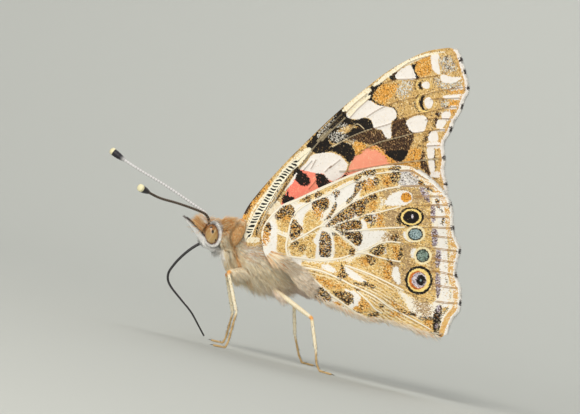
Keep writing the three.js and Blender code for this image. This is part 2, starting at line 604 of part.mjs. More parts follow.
for (const [word, side] of Object.entries(SIDES)) {
  addPart(`eye_${word}`, eyeBall(side), MATERIALS.eye);
  addPart(`palp_${word}`, cutAll(palp(side), [headRoom, tongueRoom]), MATERIALS.face);
  addPart(`antenna_${word}`, cutAll(feeler(FEELER_PATHS[word]), [headRoom, ...eyeRooms]), MATERIALS.feeler);
  addPart(`tegula_${word}`, cutAll(tegula(side), [thoraxRoom, prothoraxRoom]), MATERIALS.collar);
  addPart(`foreleg_${word}`, cutAll(foreleg(side), [thoraxRoom, prothoraxRoom, headRoom]), MATERIALS.fur);

  const forewing = wing(FOREWING_OUTLINE, FOREWING_HINGE, forewingSpread, FOREWING_VEINS, side);
  addPart(`forewing_${word}`, cutAll(forewing, [thoraxRoom, tegula(side, GAP)]), MATERIALS.forewing);
  const hindwing = wing(HINDWING_OUTLINE, HINDWING_HINGE, hindwingSpread, HINDWING_VEINS, side);
  const besideHindwing = [thoraxRoom, abdomenRoom, forewingRoom(side)];
  addPart(`hindwing_${word}`, cutAll(hindwing, besideHindwing), MATERIALS.hindwing);
}

for (const leg of LEGS) {
  const name = (length) => `${leg.pair}_${length}_${leg.side}`;
  addPart(name("femur"), cutAll(femur(leg), [thoraxRoom]), MATERIALS.leg);
  addPart(name("tibia"), cutAll(tibia(leg), [femur(leg, GAP)]), MATERIALS.leg);
  addPart(name("tarsus"), cutAll(tarsus(leg), [tibia(leg, GAP)]), MATERIALS.leg);
}

// The feet stand on z = 0, and the box's middle is over the origin.
const box = new THREE.Box3().setFromObject(insect);
const middle = box.getCenter(new THREE.Vector3());
insect.position.set(-middle.x, -middle.y, -FLOOR);

export default insect;
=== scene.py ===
import math

import bpy
import numpy as np
from mathutils import Matrix, Vector


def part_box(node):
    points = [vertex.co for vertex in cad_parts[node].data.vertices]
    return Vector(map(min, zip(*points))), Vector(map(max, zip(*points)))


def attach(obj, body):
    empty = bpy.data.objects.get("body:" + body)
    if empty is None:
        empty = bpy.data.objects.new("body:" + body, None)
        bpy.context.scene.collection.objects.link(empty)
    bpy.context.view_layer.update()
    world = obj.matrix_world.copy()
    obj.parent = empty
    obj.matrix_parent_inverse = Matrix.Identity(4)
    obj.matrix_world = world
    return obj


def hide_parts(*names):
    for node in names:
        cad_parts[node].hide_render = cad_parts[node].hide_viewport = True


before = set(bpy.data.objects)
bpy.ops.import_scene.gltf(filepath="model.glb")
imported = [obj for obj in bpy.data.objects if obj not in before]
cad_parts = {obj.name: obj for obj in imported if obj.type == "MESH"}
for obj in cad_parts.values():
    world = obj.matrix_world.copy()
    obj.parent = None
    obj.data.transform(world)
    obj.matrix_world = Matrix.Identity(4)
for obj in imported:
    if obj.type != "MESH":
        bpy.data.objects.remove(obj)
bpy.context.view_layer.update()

# The side view.
# The insect is drawn as it is seen from its left: "across" and "down" are millimetres in that view, "right"
# is millimetres from its middle plane. It leans back on its feet, so the view is turned by the same angle.
MM = 0.001
LEAN = math.radians(14.0)
EYE_CENTRE = (21.2, 23.4, -1.15)
EYE_LOW, EYE_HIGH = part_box("eye_left")


def turned(across, down, right=0.0):
    """Metres in the model's own axes, before it is set over its feet."""
    x = across * math.cos(LEAN) + down * math.sin(LEAN)
    z = across * math.sin(LEAN) - down * math.cos(LEAN)
    return np.stack(np.broadcast_arrays(x, right, z), -1) * MM


SHIFT = (np.array(EYE_LOW) + np.array(EYE_HIGH)) / 2 - turned(*EYE_CENTRE)
AXIS_ACROSS = np.array([math.cos(LEAN), 0.0, math.sin(LEAN)])
AXIS_DOWN = np.array([math.sin(LEAN), 0.0, -math.cos(LEAN)])
AXIS_RIGHT = np.array([0.0, 1.0, 0.0])


def at(across, down, right=0.0):
    """The place in the model, in metres, of a point of the side view."""
    return turned(across, down, right) + SHIFT


def side_view(places):
    """The side view's own millimetres of places in the model."""
    local = (places - SHIFT) / MM
    return np.stack([local @ AXIS_ACROSS, local @ AXIS_DOWN, local[..., 1]], -1)


# The stage.
# A pale floor that curves up into a backdrop, three soft lamps, and a camera square to the insect's left
# side, turned with it so that the wings stand as they do in the photo.
VIEW_CENTRE = (29.0, 20.7)
VIEW_WIDTH = 0.058
CAMERA_DISTANCE = 0.35
SENSOR = 36.0
FLOOR_HALF = 0.9
COVE_START = 0.16
COVE_RADIUS = 0.25
BACKDROP_TOP = 0.9


def tint(red, green, blue):
    """A colour written as it looks on a screen, 0 to 255, as the renderer's linear light."""
    parts = [part / 255 for part in (red, green, blue)]
    return tuple(p / 12.92 if p <= 0.04 else ((p + 0.055) / 1.055) ** 2.4 for p in parts) + (1.0,)


class Signal:
    """A value on its way through a material's nodes. Sums and products of signals add Math nodes."""

    def __init__(self, surface, socket):
        self.surface = surface
        self.socket = socket

    def math(self, operation, *values):
        return self.surface.node("ShaderNodeMath", {"operation": operation}, values)

    def __add__(self, other):
        return self.math("ADD", self, other)

    __radd__ = __add__

    def __sub__(self, other):
        return self.math("SUBTRACT", self, other)

    def __rsub__(self, other):
        return self.math("SUBTRACT", other, self)

    def __mul__(self, other):
        return self.math("MULTIPLY", self, other)

    __rmul__ = __mul__

    def __truediv__(self, other):
        return self.math("DIVIDE", self, other)

    def __rtruediv__(self, other):
        return self.math("DIVIDE", other, self)

    def clipped(self):
        return self.surface.node("ShaderNodeClamp", {}, (self, 0.0, 1.0))

    def absolute(self):
        return self.math("ABSOLUTE", self)

    def fraction(self):
        return self.math("FRACT", self)


class Surface:
    """A material made of nodes round one Principled shader."""

    def __init__(self, name, roughness, sheen=0.0, coat=0.0, specular=0.5):
        self.material = bpy.data.materials.new(name)
        self.material.use_nodes = True
        self.shader = self.material.node_tree.nodes["Principled BSDF"]
        self.feed("Roughness", roughness)
        self.feed("Sheen Weight", sheen)
        self.feed("Coat Weight", coat)
        self.feed("Specular IOR Level", specular)

    def feed(self, name, value):
        """Sets one of the shader's sockets to a value or a signal."""
        self.join(self.shader.inputs[name], value)

    def join(self, socket, value):
        if isinstance(value, Signal):
            self.material.node_tree.links.new(value.socket, socket)
        else:
            socket.default_value = value

    def node(self, kind, settings, sockets=(), output=0):
        """Adds a node: its settings first, then the values or signals of its sockets, by number or name."""
        node = self.material.node_tree.nodes.new(kind)
        for name, value in settings.items():
            if name == "stops":
                self.set_stops(node.color_ramp, value)
            else:
                setattr(node, name, value)
        pairs = sockets.items() if isinstance(sockets, dict) else enumerate(sockets)
        for key, value in pairs:
            self.join(node.inputs[key], value)
        return Signal(self, node.outputs[output])

    def set_stops(self, ramp, stops):
        while len(ramp.elements) < len(stops):
            ramp.elements.new(1.0)
        for element, (position, colour) in zip(ramp.elements, stops):
            element.position = position
            element.color = colour

    def field(self, name, output=2):
        """A value that the mesh carries at each of its points: a number, or a vector with output 1."""
        return self.node("ShaderNodeAttribute", {"attribute_name": name}, output=output)

    def mix(self, under, over, amount, blend="MIX"):
        """One colour laid over another by an amount."""
        settings = {"data_type": "RGBA", "blend_type": blend, "clamp_factor": True}
        return self.node("ShaderNodeMix", settings, {0: amount, 6: under, 7: over}, output=2)

    def ramp(self, value, *stops, interpolation="LINEAR"):
        """A colour that follows a value from 0 to 1. A stop is a place, then red, green and blue."""
        stops = [(position, tint(*colour)) for position, *colour in stops]
        node = self.node("ShaderNodeValToRGB", {"stops": stops}, (value,))
        node.socket.node.color_ramp.interpolation = interpolation
        return node

    def pick(self, value, *stops):
        """A colour picked by a value from 0 to 1, with nothing between one stop's colour and the next."""
        return self.ramp(value, *stops, interpolation="CONSTANT")

    def place(self, turn=(0.0, 0.0, 0.0), size=(1.0, 1.0, 1.0)):
        """Coordinates in the mesh's own space, turned, in units of a given size in metres."""
        coordinate = self.node("ShaderNodeTexCoord", {}, output=3)
        sockets = {"Vector": coordinate, "Rotation": turn, "Scale": size}
        return self.node("ShaderNodeMapping", {"vector_type": "TEXTURE"}, sockets)

    def parts(self, colour):
        """The three channels of a colour or vector."""
        first = self.node("ShaderNodeSeparateColor", {}, (colour,))
        return [Signal(self, output) for output in first.socket.node.outputs[:3]]

    def noise(self, size, detail=2.0, output=0):
        """Smooth noise with features of about a size in metres."""
        sockets = {"Vector": self.place(), "Scale": 1.0 / size, "Detail": detail}
        return self.node("ShaderNodeTexNoise", {}, sockets, output=output)

    def bump(self, height, depth):
        """Raises the surface by a signal, its full height being a depth in metres."""
        self.feed("Normal", self.node("ShaderNodeBump", {}, {"Distance": depth, "Height": height}))


def make_mesh(name, vertices, faces, surface, smooth=True):
    """An object in the scene from points in metres and faces by number."""
    mesh = bpy.data.meshes.new(name)
    mesh.from_pydata(np.asarray(vertices).tolist(), [], faces if isinstance(faces, list) else faces.tolist())
    mesh.polygons.foreach_set("use_smooth", np.full(len(mesh.polygons), smooth))
    mesh.materials.append(surface.material)
    piece = bpy.data.objects.new(name, mesh)
    bpy.context.scene.collection.objects.link(piece)
    return piece


def carry(piece, **fields):
    """Stores values on a mesh's points for its material to read."""
    for name, values in fields.items():
        kind, slot = ("FLOAT_VECTOR", "vector") if np.ndim(values) == 2 else ("FLOAT", "value")
        attribute = piece.data.attributes.new(name, kind, "POINT")
        attribute.data.foreach_set(slot, np.asarray(values, np.float32).ravel())


paper = Surface("pale_paper", roughness=0.9, specular=0.2)
paper.feed("Base Color", tint(190, 193, 190))
cove_angles = np.linspace(0, math.pi / 2, 24)
cove_y = COVE_START + COVE_RADIUS * np.sin(cove_angles)
cove_z = COVE_RADIUS * (1 - np.cos(cove_angles))
profile_y = np.concatenate([[-FLOOR_HALF], cove_y, cove_y[-1:]])
profile_z = np.concatenate([[0.0], cove_z, [BACKDROP_TOP]])
floor_points = [(side * FLOOR_HALF, y, z) for y, z in zip(profile_y, profile_z) for side in (-1, 1)]
floor_faces = [(2 * i, 2 * i + 1, 2 * i + 3, 2 * i + 2) for i in range(len(profile_y) - 1)]
make_mesh("floor", floor_points, floor_faces, paper)

aim = Vector(at(*VIEW_CENTRE))
camera = bpy.data.objects.new("camera", bpy.data.cameras.new("camera"))
camera.data.sensor_width = SENSOR
camera.data.lens = SENSOR * CAMERA_DISTANCE / VIEW_WIDTH
camera.data.clip_start = 0.01
axes = Matrix((AXIS_ACROSS, -AXIS_DOWN, (0.0, -1.0, 0.0))).transposed()
camera.matrix_world = Matrix.Translation(aim - Vector((0, CAMERA_DISTANCE, 0))) @ axes.to_4x4()
bpy.context.scene.collection.objects.link(camera)
bpy.context.scene.camera = camera
bpy.context.scene.view_settings.view_transform = "Standard"


def lamp(name, place, size, watts, colour):
    """A soft square lamp turned to the insect."""
    light = bpy.data.lights.new(name, "AREA")
    light.size = size
    light.energy = watts
    light.color = colour[:3]
    holder = bpy.data.objects.new(name, light)
    holder.location = place
    holder.rotation_euler = (aim - Vector(place)).to_track_quat("-Z", "Y").to_euler()
    bpy.context.scene.collection.objects.link(holder)


lamp("key_lamp", (-0.18, -0.34, 0.36), 0.22, 1.3, tint(255, 250, 240))
lamp("fill_lamp", (-0.06, -0.44, 0.07), 0.30, 0.9, tint(255, 250, 242))
lamp("back_lamp", (0.10, 0.34, 0.34), 0.26, 0.9, tint(255, 252, 246))
world = bpy.data.worlds.new("soft_room")
world.use_nodes = True
world.node_tree.nodes["Background"].inputs["Color"].default_value = tint(242, 242, 240)
world.node_tree.nodes["Background"].inputs["Strength"].default_value = 0.46
bpy.context.scene.world = world

# The forewings.
# Each is a stiff clear membrane on a fan of hollow veins, shingled on both faces with scales a tenth of a
# millimetre across. Every scale has one colour, so the edges of the marks are ragged at that size. The wings
# stand closed over the back, and the under sides show. Outlines and marks are in tenths of a millimetre.
WING_LENGTH = 28.3
WING_SHEET = 0.1
NET = 0.1
SCALE_SIZE = 0.00009
FOREWING_HINGE = np.array([25.0, 23.9])
FOREWING_INSET = 0.42
FOREWING_ROOT_SPREAD = 2.05
FOREWING_ROOT_REACH = 0.35 * WING_LENGTH
VEIN_RISE = 0.07
VEIN_WIDTH = 0.11
FRINGE_WIDTH = 0.2
FAR = 9.0
RUNG_PITCH = 0.35
EASE_IN = 0.8
MARK_REACH = 1.5
UV_SIZE = (0.48, 0.98)
UV_OUTER = (0.01, 0.01)
UV_INNER = (0.51, 0.01)

FOREWING_FRONT = (242, 226, 246, 210, 260, 191, 280, 168.5, 300, 148, 330, 119, 360, 93, 390, 70, 420, 54,
                  440, 49)
FOREWING_MARGIN = (457, 48.5, 461, 56, 465, 69, 468.5, 82, 469, 92, 465, 100, 461, 112, 455, 122, 451, 132,
                   445, 142, 444.5, 151, 445.5, 160, 444.5, 171, 447, 182, 448, 193, 446, 203)
FOREWING_REAR = (410, 213, 370, 222, 330, 232, 290, 242, 264, 249, 250, 249)

FOREWING_VEINS = {
    "tan": [
        (367, 117, 378, 110, 390, 104.5, 400, 101, 413, 98, 425, 95, 440, 91, 455, 88.5, 467, 87),
        (372, 129, 385, 125.5, 395, 122, 405, 119, 415, 115, 425, 113, 440, 109.5, 452, 107.5, 462, 107),
        (383, 84, 395, 80, 405, 79.5, 415, 79, 437, 76), (425, 120, 435, 118.5, 447, 119, 456, 119.5),
        (413, 133.5, 425, 131.5, 437, 130, 448, 130), (427, 146, 440, 145.5, 445, 145.5),
        (430, 99.5, 442, 99, 452, 98.5, 464, 98.5), (350, 118, 358, 109, 369, 99),
        (346, 113, 356, 103, 367, 94), (392, 76, 404, 66, 416, 60, 430, 56), (316, 160, 311, 169),
        (330, 168, 340, 160), (325, 172, 331, 166), (316, 181, 309, 189),
    ],
    "cream": [
        (345, 139.5, 355, 135, 365, 131, 372, 129), (333, 147, 345, 139.5),
        (330, 147, 345, 140.5, 352, 142), (367, 148, 377, 143, 390, 139.5, 400, 137, 413, 133.5),
        (340, 171.5, 347, 171.5, 360, 169.5, 375, 167, 390, 164.5, 400, 163, 425, 160, 444, 158),
        (322, 141, 334, 128, 345, 118), (317, 141, 329, 127, 342, 114), (312, 150, 322, 138, 331, 129),
        (299, 169, 306, 160, 312, 152), (350, 130, 357, 124, 364, 129),
    ],
    "dark": [
        (347, 172, 350, 162, 354, 157, 360, 152, 368, 147),
        (256, 237, 259, 230, 262, 222, 268, 210, 275, 197, 283, 184, 290, 174, 296, 166),
        (271, 208, 279, 195, 286, 184), (275, 203, 284, 190, 290, 181), (300, 167, 306, 158, 312, 149),
        (303, 171, 312, 161), (318, 131, 330, 119, 343, 108), (320, 136, 333, 123, 345, 111),
        (316, 146, 328, 133, 340, 121),
        (242, 214, 250, 203.5, 258, 194, 270, 178.5, 280, 167.5, 290, 157.5, 300, 149.5),
    ],
}
FOREWING_MARKS = {
    "salmon": [
        (281, 204, 286, 192, 298, 172, 312, 162, 330, 170, 346, 172, 352, 159, 360, 152, 368, 147, 377,
         146, 386, 151, 393, 158, 399, 165, 380, 168, 362, 172, 347, 176, 334, 182, 318, 189, 309, 194,
         296, 201, 284, 206),
    ],
    "amber": [
        (242, 214, 247, 207, 254, 198, 262, 189, 270, 180, 272, 182, 264, 193, 256, 204, 249, 216, 244, 221),
        (353, 141, 362, 142, 366, 147, 363, 151, 357, 155.5, 353, 148),
        (360, 149, 368, 147, 378, 146, 387, 151, 396, 159, 402, 165, 390, 165, 384, 156, 374, 150),
        (408, 150, 415, 148, 421, 149, 421, 158, 423, 167, 414, 167, 402, 164, 407, 157),
        (417, 58, 425, 56, 431, 56, 431, 72, 428, 75, 421, 77, 414, 75, 413, 71),
        (372, 94, 380, 86, 389, 84, 396, 84, 398, 89, 392, 96, 383, 105, 375, 100, 370, 97),
        (449, 101, 459, 100, 459, 108, 452, 113, 447, 110), (446, 90, 462, 88, 464, 93, 452, 95),
    ],
    "umber": [
        (244, 212, 250, 204, 251, 207, 246, 216), (256, 197, 261, 191, 260, 196),
        (266, 185, 270, 181, 270, 184),
        (343, 141, 353, 131, 365, 122, 374, 128, 384, 132, 391, 139, 392, 122, 405, 118, 409, 127, 414,
         133, 413, 142, 409, 150, 405, 159, 398, 162, 391, 158, 384, 151, 376, 146, 366, 144, 352, 141),
        (424, 149, 425, 158, 429, 170, 431, 178, 424, 171, 420, 166, 421, 156),
        (421, 143, 427, 135, 430, 131, 431, 134, 427, 141), (436, 112, 440, 113, 439, 117, 436, 116),
        (434, 119, 439, 119, 436, 127, 434, 126), (432, 149, 435, 149, 435, 178, 433, 177),
        (443, 57, 447, 56, 449, 60, 444, 62), (444, 64, 450, 65, 453, 70, 446, 70),
    ],
    "black": [
        (306, 146, 312, 138, 318, 131, 320, 136, 327, 139, 333, 146, 342, 142, 351, 145, 354, 150, 355,
         155, 353, 159, 349, 163, 345, 159, 339, 154, 330, 151.5, 320, 154, 312, 152, 309, 149),
        (330, 121, 340, 110, 346, 109, 347, 116, 354, 120, 363, 117.5, 370, 120, 374, 128, 366, 130, 358,
         127, 350, 125, 342, 128, 334, 134, 327, 142, 322, 141, 320, 133),
        (384, 152, 398, 150, 408, 151, 403, 160, 398, 162, 391, 158),
        (330, 130, 345, 134, 354, 128, 364, 131, 351, 137, 340, 143, 330, 142),
        (363, 97, 366, 90, 374, 84, 381, 79.5, 383, 83, 377, 89, 373, 95, 372, 101, 367, 101),
        (389, 76, 397, 70, 396, 80, 391, 80), (411, 66, 416, 64, 415, 71, 419, 78, 413, 79),
        (421, 96.5, 425, 95.5, 423.4, 99, 422.6, 103, 424, 108, 427.5, 110.5, 423, 110, 420, 107, 419,
         102.5, 420, 98.5),
        (418.6, 82, 421, 81.5, 421, 85, 422.5, 89.5, 419.5, 89, 418.2, 86),
        (282, 198, 284, 194, 286.5, 195, 287.5, 186, 289, 196, 293, 197, 294, 200, 289, 203, 285, 205.5,
         282, 202),
        (293, 172, 298, 168, 302, 172, 306, 174, 310, 180, 309, 185, 303, 186, 299, 184, 294, 178),
        (316, 174, 321, 173.5, 326, 176, 331, 182, 340, 178, 348, 172, 347, 175, 336, 183, 322, 188, 317,
         185),
    ],
    "fleck": [
        (329, 136, 336, 131, 345, 133, 346, 138, 338, 143, 331, 140),
        (337, 126, 344, 123, 348, 127, 341, 129), (318, 132, 330, 120, 336, 118, 328, 130, 320, 138),
        (266, 202, 274, 196, 279, 200, 272, 212, 268, 216),
        (400, 83, 409, 80, 412, 88, 408, 96, 399, 97, 396, 92),
        (440, 58, 452, 58, 456, 70, 444, 73, 439, 64), (436, 78, 460, 80, 460, 92, 446, 90, 436, 86),
        (441, 112, 450, 111, 448, 118, 441, 118), (349, 141, 354, 141, 352, 145, 348, 144),
        (441, 100, 450, 101, 446, 108, 441, 107),
    ],
    "white": [
        (346, 115, 352, 107, 360, 102, 368, 100, 377, 105, 388, 107, 394, 109, 396.5, 114, 395, 119, 391,
         123, 391, 137, 388, 139, 384, 135, 381, 130, 374, 128, 371, 120, 365, 117.5, 357, 119.5, 349, 118),
        (395, 76, 399, 71, 405, 67, 410, 65, 413, 70, 415.5, 79, 405, 80, 398, 80),
        (406, 122, 411, 118, 418, 115.5, 424, 116, 427, 120, 426, 125, 424, 131, 418, 133, 412, 132, 408,
         128),
        (300, 169, 306, 163, 312, 155, 320, 153.5, 330, 152.5, 340, 156, 345, 161, 347.5, 165, 345, 172,
         341, 177, 333, 181, 328, 179, 323, 174, 315, 173, 306, 171),
        (422, 84, 425.5, 81.5, 429, 83, 429.5, 86, 427, 89, 423, 88),
        (424, 101, 427, 97.5, 430, 97.5, 432.5, 101, 432, 106, 429, 108.5, 425.5, 107),
        (431, 54, 439, 55, 438, 62, 440, 73, 437, 74, 432, 68),
        (441, 75, 452, 77, 462, 78, 452, 83, 442, 82), (442, 113, 450, 112, 449, 119, 442, 118),
        (438, 120, 446, 121, 442, 128, 436, 128), (429, 134, 436, 131, 438, 140, 429, 142),
        (428, 143, 444, 142, 444, 148, 428, 148), (427, 148, 434, 149, 433, 158, 428, 158),
        (428, 161, 434, 161, 434, 176, 431, 174), (284, 191, 291, 180, 297, 172, 294, 181, 288, 188),
        (443, 96, 458, 94.5, 466, 95, 463, 99, 446, 99), (434, 172, 445, 171, 445, 177, 430, 177),
    ],
    "cream": [
        (244, 233, 250, 237, 258, 237, 260, 241, 252, 243, 245, 241),
        (298, 156, 306, 148, 312, 150, 304, 160, 298, 166, 294, 164),
        (342, 110, 352, 100, 362, 92, 368, 88, 371, 91, 361, 101, 350, 112, 346, 112),
        (372, 86, 390, 71, 410, 59, 430, 53, 445, 52, 430, 56, 412, 63, 393, 74, 378, 85),
        (354, 109, 364, 98, 370, 95, 369, 99, 358, 108, 350, 117, 347, 114),
        (268, 214, 275, 200, 282, 206, 277, 212),
    ],
}
FOREWING_STRIPES = {
    "cream": [
        (1.0, 244, 237, 247, 226, 255, 208, 265, 194.5, 275, 181, 283, 170.5, 292, 160.5, 300, 152.5),
        (0.8, 258, 233, 262, 222, 267.5, 211, 273, 200, 279, 190, 285, 180, 292, 170),
    ],
    "umber": [
        (0.5, 264, 224, 270, 211, 277, 198.5, 285, 186, 291, 177, 297, 167), (0.5, 303, 163, 308, 156),
    ],
    "black": [
        (0.7, 388, 105.5, 393, 108, 397, 113, 396.5, 119, 392, 123),
        (0.7, 370, 98, 375, 102.5, 383, 106.5),
        (0.5, 419, 95, 416, 97.5, 414.6, 102.5, 415.6, 108, 419, 112),
        (0.4, 417, 80, 415, 83, 414.3, 86.5, 416, 91),
        (0.55, 242, 214.5, 250, 204, 263, 186, 278.6, 169, 296, 150, 307, 141, 322, 129.5),
        (0.75, 256, 234, 262, 215, 270, 202, 279, 188.5, 288, 177.5, 297, 167),
        (0.35, 426, 116, 427.5, 120, 426, 126), (0.35, 404, 120, 407, 127, 411, 132),
        (0.45, 441, 106, 450, 107, 458, 108), (0.4, 441, 88, 452, 87.5, 462, 86),
        (0.35, 442, 145.2, 418, 146),
    ],
    "ring": [
        (0.55, 421, 95, 418.2, 98, 417.2, 102.5, 418.4, 107.5, 422, 111, 428, 111.5),
        (0.4, 419.5, 80.5, 417, 83, 416.4, 86, 417.6, 89.5, 421, 91.5),
        (0.3, 433.4, 98.5, 434.4, 103, 433, 108), (0.3, 423, 79.5, 428.5, 80.5, 430.8, 84, 430.4, 88),
    ],
}
LADDER_LINE = (248.5, 234.5, 251, 228, 257, 215.5, 263, 206, 270, 194.5, 276, 185, 284, 175, 290, 168.5,
               296, 163)
FOREWING_TIP_SPOTS = (461, 60, 465.5, 72, 468, 88, 463, 107, 452, 130, 445, 158, 446.5, 184)


def tenths(numbers):
    """Points in millimetres from a flat list of tenths."""
    return np.array(numbers, float).reshape(-1, 2) / 10


def rounded(corners, closed=False, steps=5):
    """A smooth line through the corners."""
    before, after = (np.roll(corners, 1, 0), np.roll(corners, -1, 0)) if closed else (
        np.vstack([corners[:1], corners[:-1]]), np.vstack([corners[1:], corners[-1:]]))
    slopes = (after - before) / 2
    spans = len(corners) if closed else len(corners) - 1
    line = []
    for i in range(spans):
        a, b = corners[i], corners[(i + 1) % len(corners)]
        u, v = slopes[i], slopes[(i + 1) % len(corners)]
        for t in np.arange(steps) / steps:
            line.append(a * (2 * t**3 - 3 * t**2 + 1) + u * (t**3 - 2 * t**2 + t)
                        + b * (3 * t**2 - 2 * t**3) + v * (t**3 - t**2))
    if not closed:
        line.append(corners[-1])
    return np.array(line)


def nearest_on(points, line, closed=False):
    """For each point: how far a line is in mm, the nearest place on it, how far along, and which side."""
    ends = np.roll(line, -1, 0) if closed else line[1:]
    best = np.full(len(points), np.inf)
    place = np.zeros((len(points), 2))
    along = np.zeros(len(points))
    side = np.zeros(len(points))
    run = 0.0
    for a, b in zip(line, ends):
        step = b - a
        length = np.linalg.norm(step)
        share = np.clip((points - a) @ step / max(length, 1e-9) ** 2, 0, 1)
        foot = a + share[:, None] * step
        gap = np.linalg.norm(points - foot, axis=1)
        closer = gap < best
        best[closer] = gap[closer]
        place[closer] = foot[closer]
        along[closer] = run + share[closer] * length
        turn = (points[:, 0] - a[0]) * step[1] - (points[:, 1] - a[1]) * step[0]
        side[closer] = np.sign(turn[closer])
        run += length
    return best, place, along, side


def encloses(points, line):
    """Which points lie inside a closed line."""
    inside = np.zeros(len(points), bool)
    for a, b in zip(line, np.roll(line, -1, 0)):
        crosses = (a[1] > points[:, 1]) != (b[1] > points[:, 1])
        reach = a[0] + (points[:, 1] - a[1]) * (b[0] - a[0]) / (b[1] - a[1] if b[1] != a[1] else 1e-9)
        inside ^= crosses & (points[:, 0] < reach)
    return inside


def depth_in(points, patches=(), strokes=()):
    """How far each point lies from the edge of the nearest mark in mm: less than nothing inside it.

    A patch is an outline. A stroke is half its width, then the line that it follows.
    """
    depth = np.full(len(points), FAR)
    marks = [(0.0, patch, True) for patch in patches] + [(width, line, False) for width, *line in strokes]
    for width, corners, closed in marks:
        line = rounded(tenths(corners), closed=closed, steps=4)
        near = np.all((points > line.min(0) - MARK_REACH) & (points < line.max(0) + MARK_REACH), axis=1)
        gap = nearest_on(points[near], line, closed=closed)[0] - width / 10
        if closed:
            gap[encloses(points[near], line)] *= -1
        depth[near] = np.minimum(depth[near], gap)
    return depth


def ease_off(x):
    """Falls smoothly from 1 at 0 to 0 at 1."""
    t = np.clip(x, 0, 1)
    return 1 - t * t * (3 - 2 * t)


def forewing_spread(points):
    """How far the forewing stands from the middle plane, in mm."""
    reach = np.linalg.norm(points - FOREWING_HINGE, axis=1) / FOREWING_ROOT_REACH
    return FOREWING_INSET + (FOREWING_ROOT_SPREAD - FOREWING_INSET) * ease_off(reach)


class WingNet:
    """A fine net of triangles that fills a wing's outline, its outermost points on the outline itself."""

    def __init__(self, front, margin, rear):
        self.margin = rounded(tenths(margin))
        self.rear = rounded(tenths(rear))
        parts = [tenths(front), tenths(margin), tenths(rear)]
        loop = rounded(np.vstack(parts), closed=True)
        from_margin = nearest_on(loop, self.margin)[0]
        inward = np.roll(loop, -1, 0) - np.roll(loop, 1, 0)
        inward = np.stack([-inward[:, 1], inward[:, 0]], 1)
        inward /= np.linalg.norm(inward, axis=1)[:, None]
        loop = loop + inward * (FRINGE_WIDTH * ease_off(from_margin / EASE_IN))[:, None]
        self.loop = loop
        low, high = loop.min(0) - NET, loop.max(0) + NET
        columns = np.arange(low[0], high[0], NET)
        rows = np.arange(low[1], high[1], NET)
        net = np.stack(np.meshgrid(columns, rows, indexing="ij"), -1).reshape(-1, 2)
        gap, edge, _, _ = nearest_on(net, loop, closed=True)
        inside = encloses(net, loop) & (gap > 0.3 * NET)
        number = np.arange(len(net)).reshape(len(columns), len(rows))
        a, b, c, d = number[:-1, :-1], number[1:, :-1], number[1:, 1:], number[:-1, 1:]
        triangles = np.concatenate([np.stack([a, b, c], -1), np.stack([a, c, d], -1)]).reshape(-1, 3)
        triangles = triangles[inside[triangles].any(1)]
        net[~inside] = edge[~inside]
        used, triangles = np.unique(triangles, return_inverse=True)
        self.points = net[used]
        self.triangles = triangles.reshape(-1, 3)
        edges = self.triangles[:, [0, 1, 1, 2, 2, 0]].reshape(-1, 2)
        keys = edges[:, 0] * len(used) + edges[:, 1]
        back = edges[:, 1] * len(used) + edges[:, 0]
        self.rim = edges[~np.isin(keys, back)]

    def build(self, name, side, spread, relief, surface, **fields):
        """A solid wing: an outer and an inner face a sheet apart, veins raised, closed at the rim."""
        count = len(self.points)
        across, down = self.points.T
        outer = at(across, down, side * (spread + WING_SHEET / 2 + relief))
        inner = at(across, down, side * (spread - WING_SHEET / 2 - 0.4 * relief))
        triangles = self.triangles if side > 0 else self.triangles[:, ::-1]
        rim = self.rim if side > 0 else self.rim[:, ::-1]
        faces = triangles.tolist() + (triangles[:, ::-1] + count).tolist()
        faces += [(b, a, a + count, b + count) for a, b in rim.tolist()]
        piece = make_mesh(name, np.vstack([outer, inner]), faces, surface)
        both = {key: np.tile(values, 2) for key, values in fields.items()}
        carry(piece, inner_face=np.repeat([0.0, 1.0], count), **both)
        sheet = (self.points - self.points.min(0)) / np.ptp(self.points, axis=0)
        halves = np.vstack([sheet * UV_SIZE + UV_OUTER, sheet * UV_SIZE + UV_INNER])
        corners = np.empty(len(piece.data.loops), int)
        piece.data.loops.foreach_get("vertex_index", corners)
        corners[-4 * len(rim):] %= count
        piece.data.uv_layers.new(name="OFBake").data.foreach_set("uv", halves[corners].ravel())
        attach(piece, "root")
        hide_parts(name)
        return piece


def scaled_surface(name, turn):
    """A matt surface of scales in rows, and three draws from 0 to 1 that change from scale to scale."""
    surface = Surface(name, roughness=0.72, sheen=0.08, specular=0.25)
    size = (SCALE_SIZE * 1.25, SCALE_SIZE * 1.4, SCALE_SIZE * 0.85)
    rows = surface.place((0.0, turn, 0.0), size)
    cell = surface.node("ShaderNodeTexVoronoi", {}, {"Vector": rows, "Scale": 1.0})
    draws = surface.parts(Signal(surface, cell.socket.node.outputs["Color"]))
    surface.bump(cell, 0.000012)
    return surface, draws


def laid(surface, under, over, depth, draw, ragged=0.16, fullness=1.0):
    """A mark painted over the ground scale by scale, with fewer of its scales towards its edge."""
    cover = (0.5 - depth / ragged).clipped() * fullness
    chosen = ((cover * 1.1 - draw) * 6.0).clipped()
    return surface.mix(under, over, chosen)


def line_of(depth, half_width, soft=0.05):
    """1 on a line, 0 beside it."""
    return ((half_width - depth) / soft + 0.5).clipped()


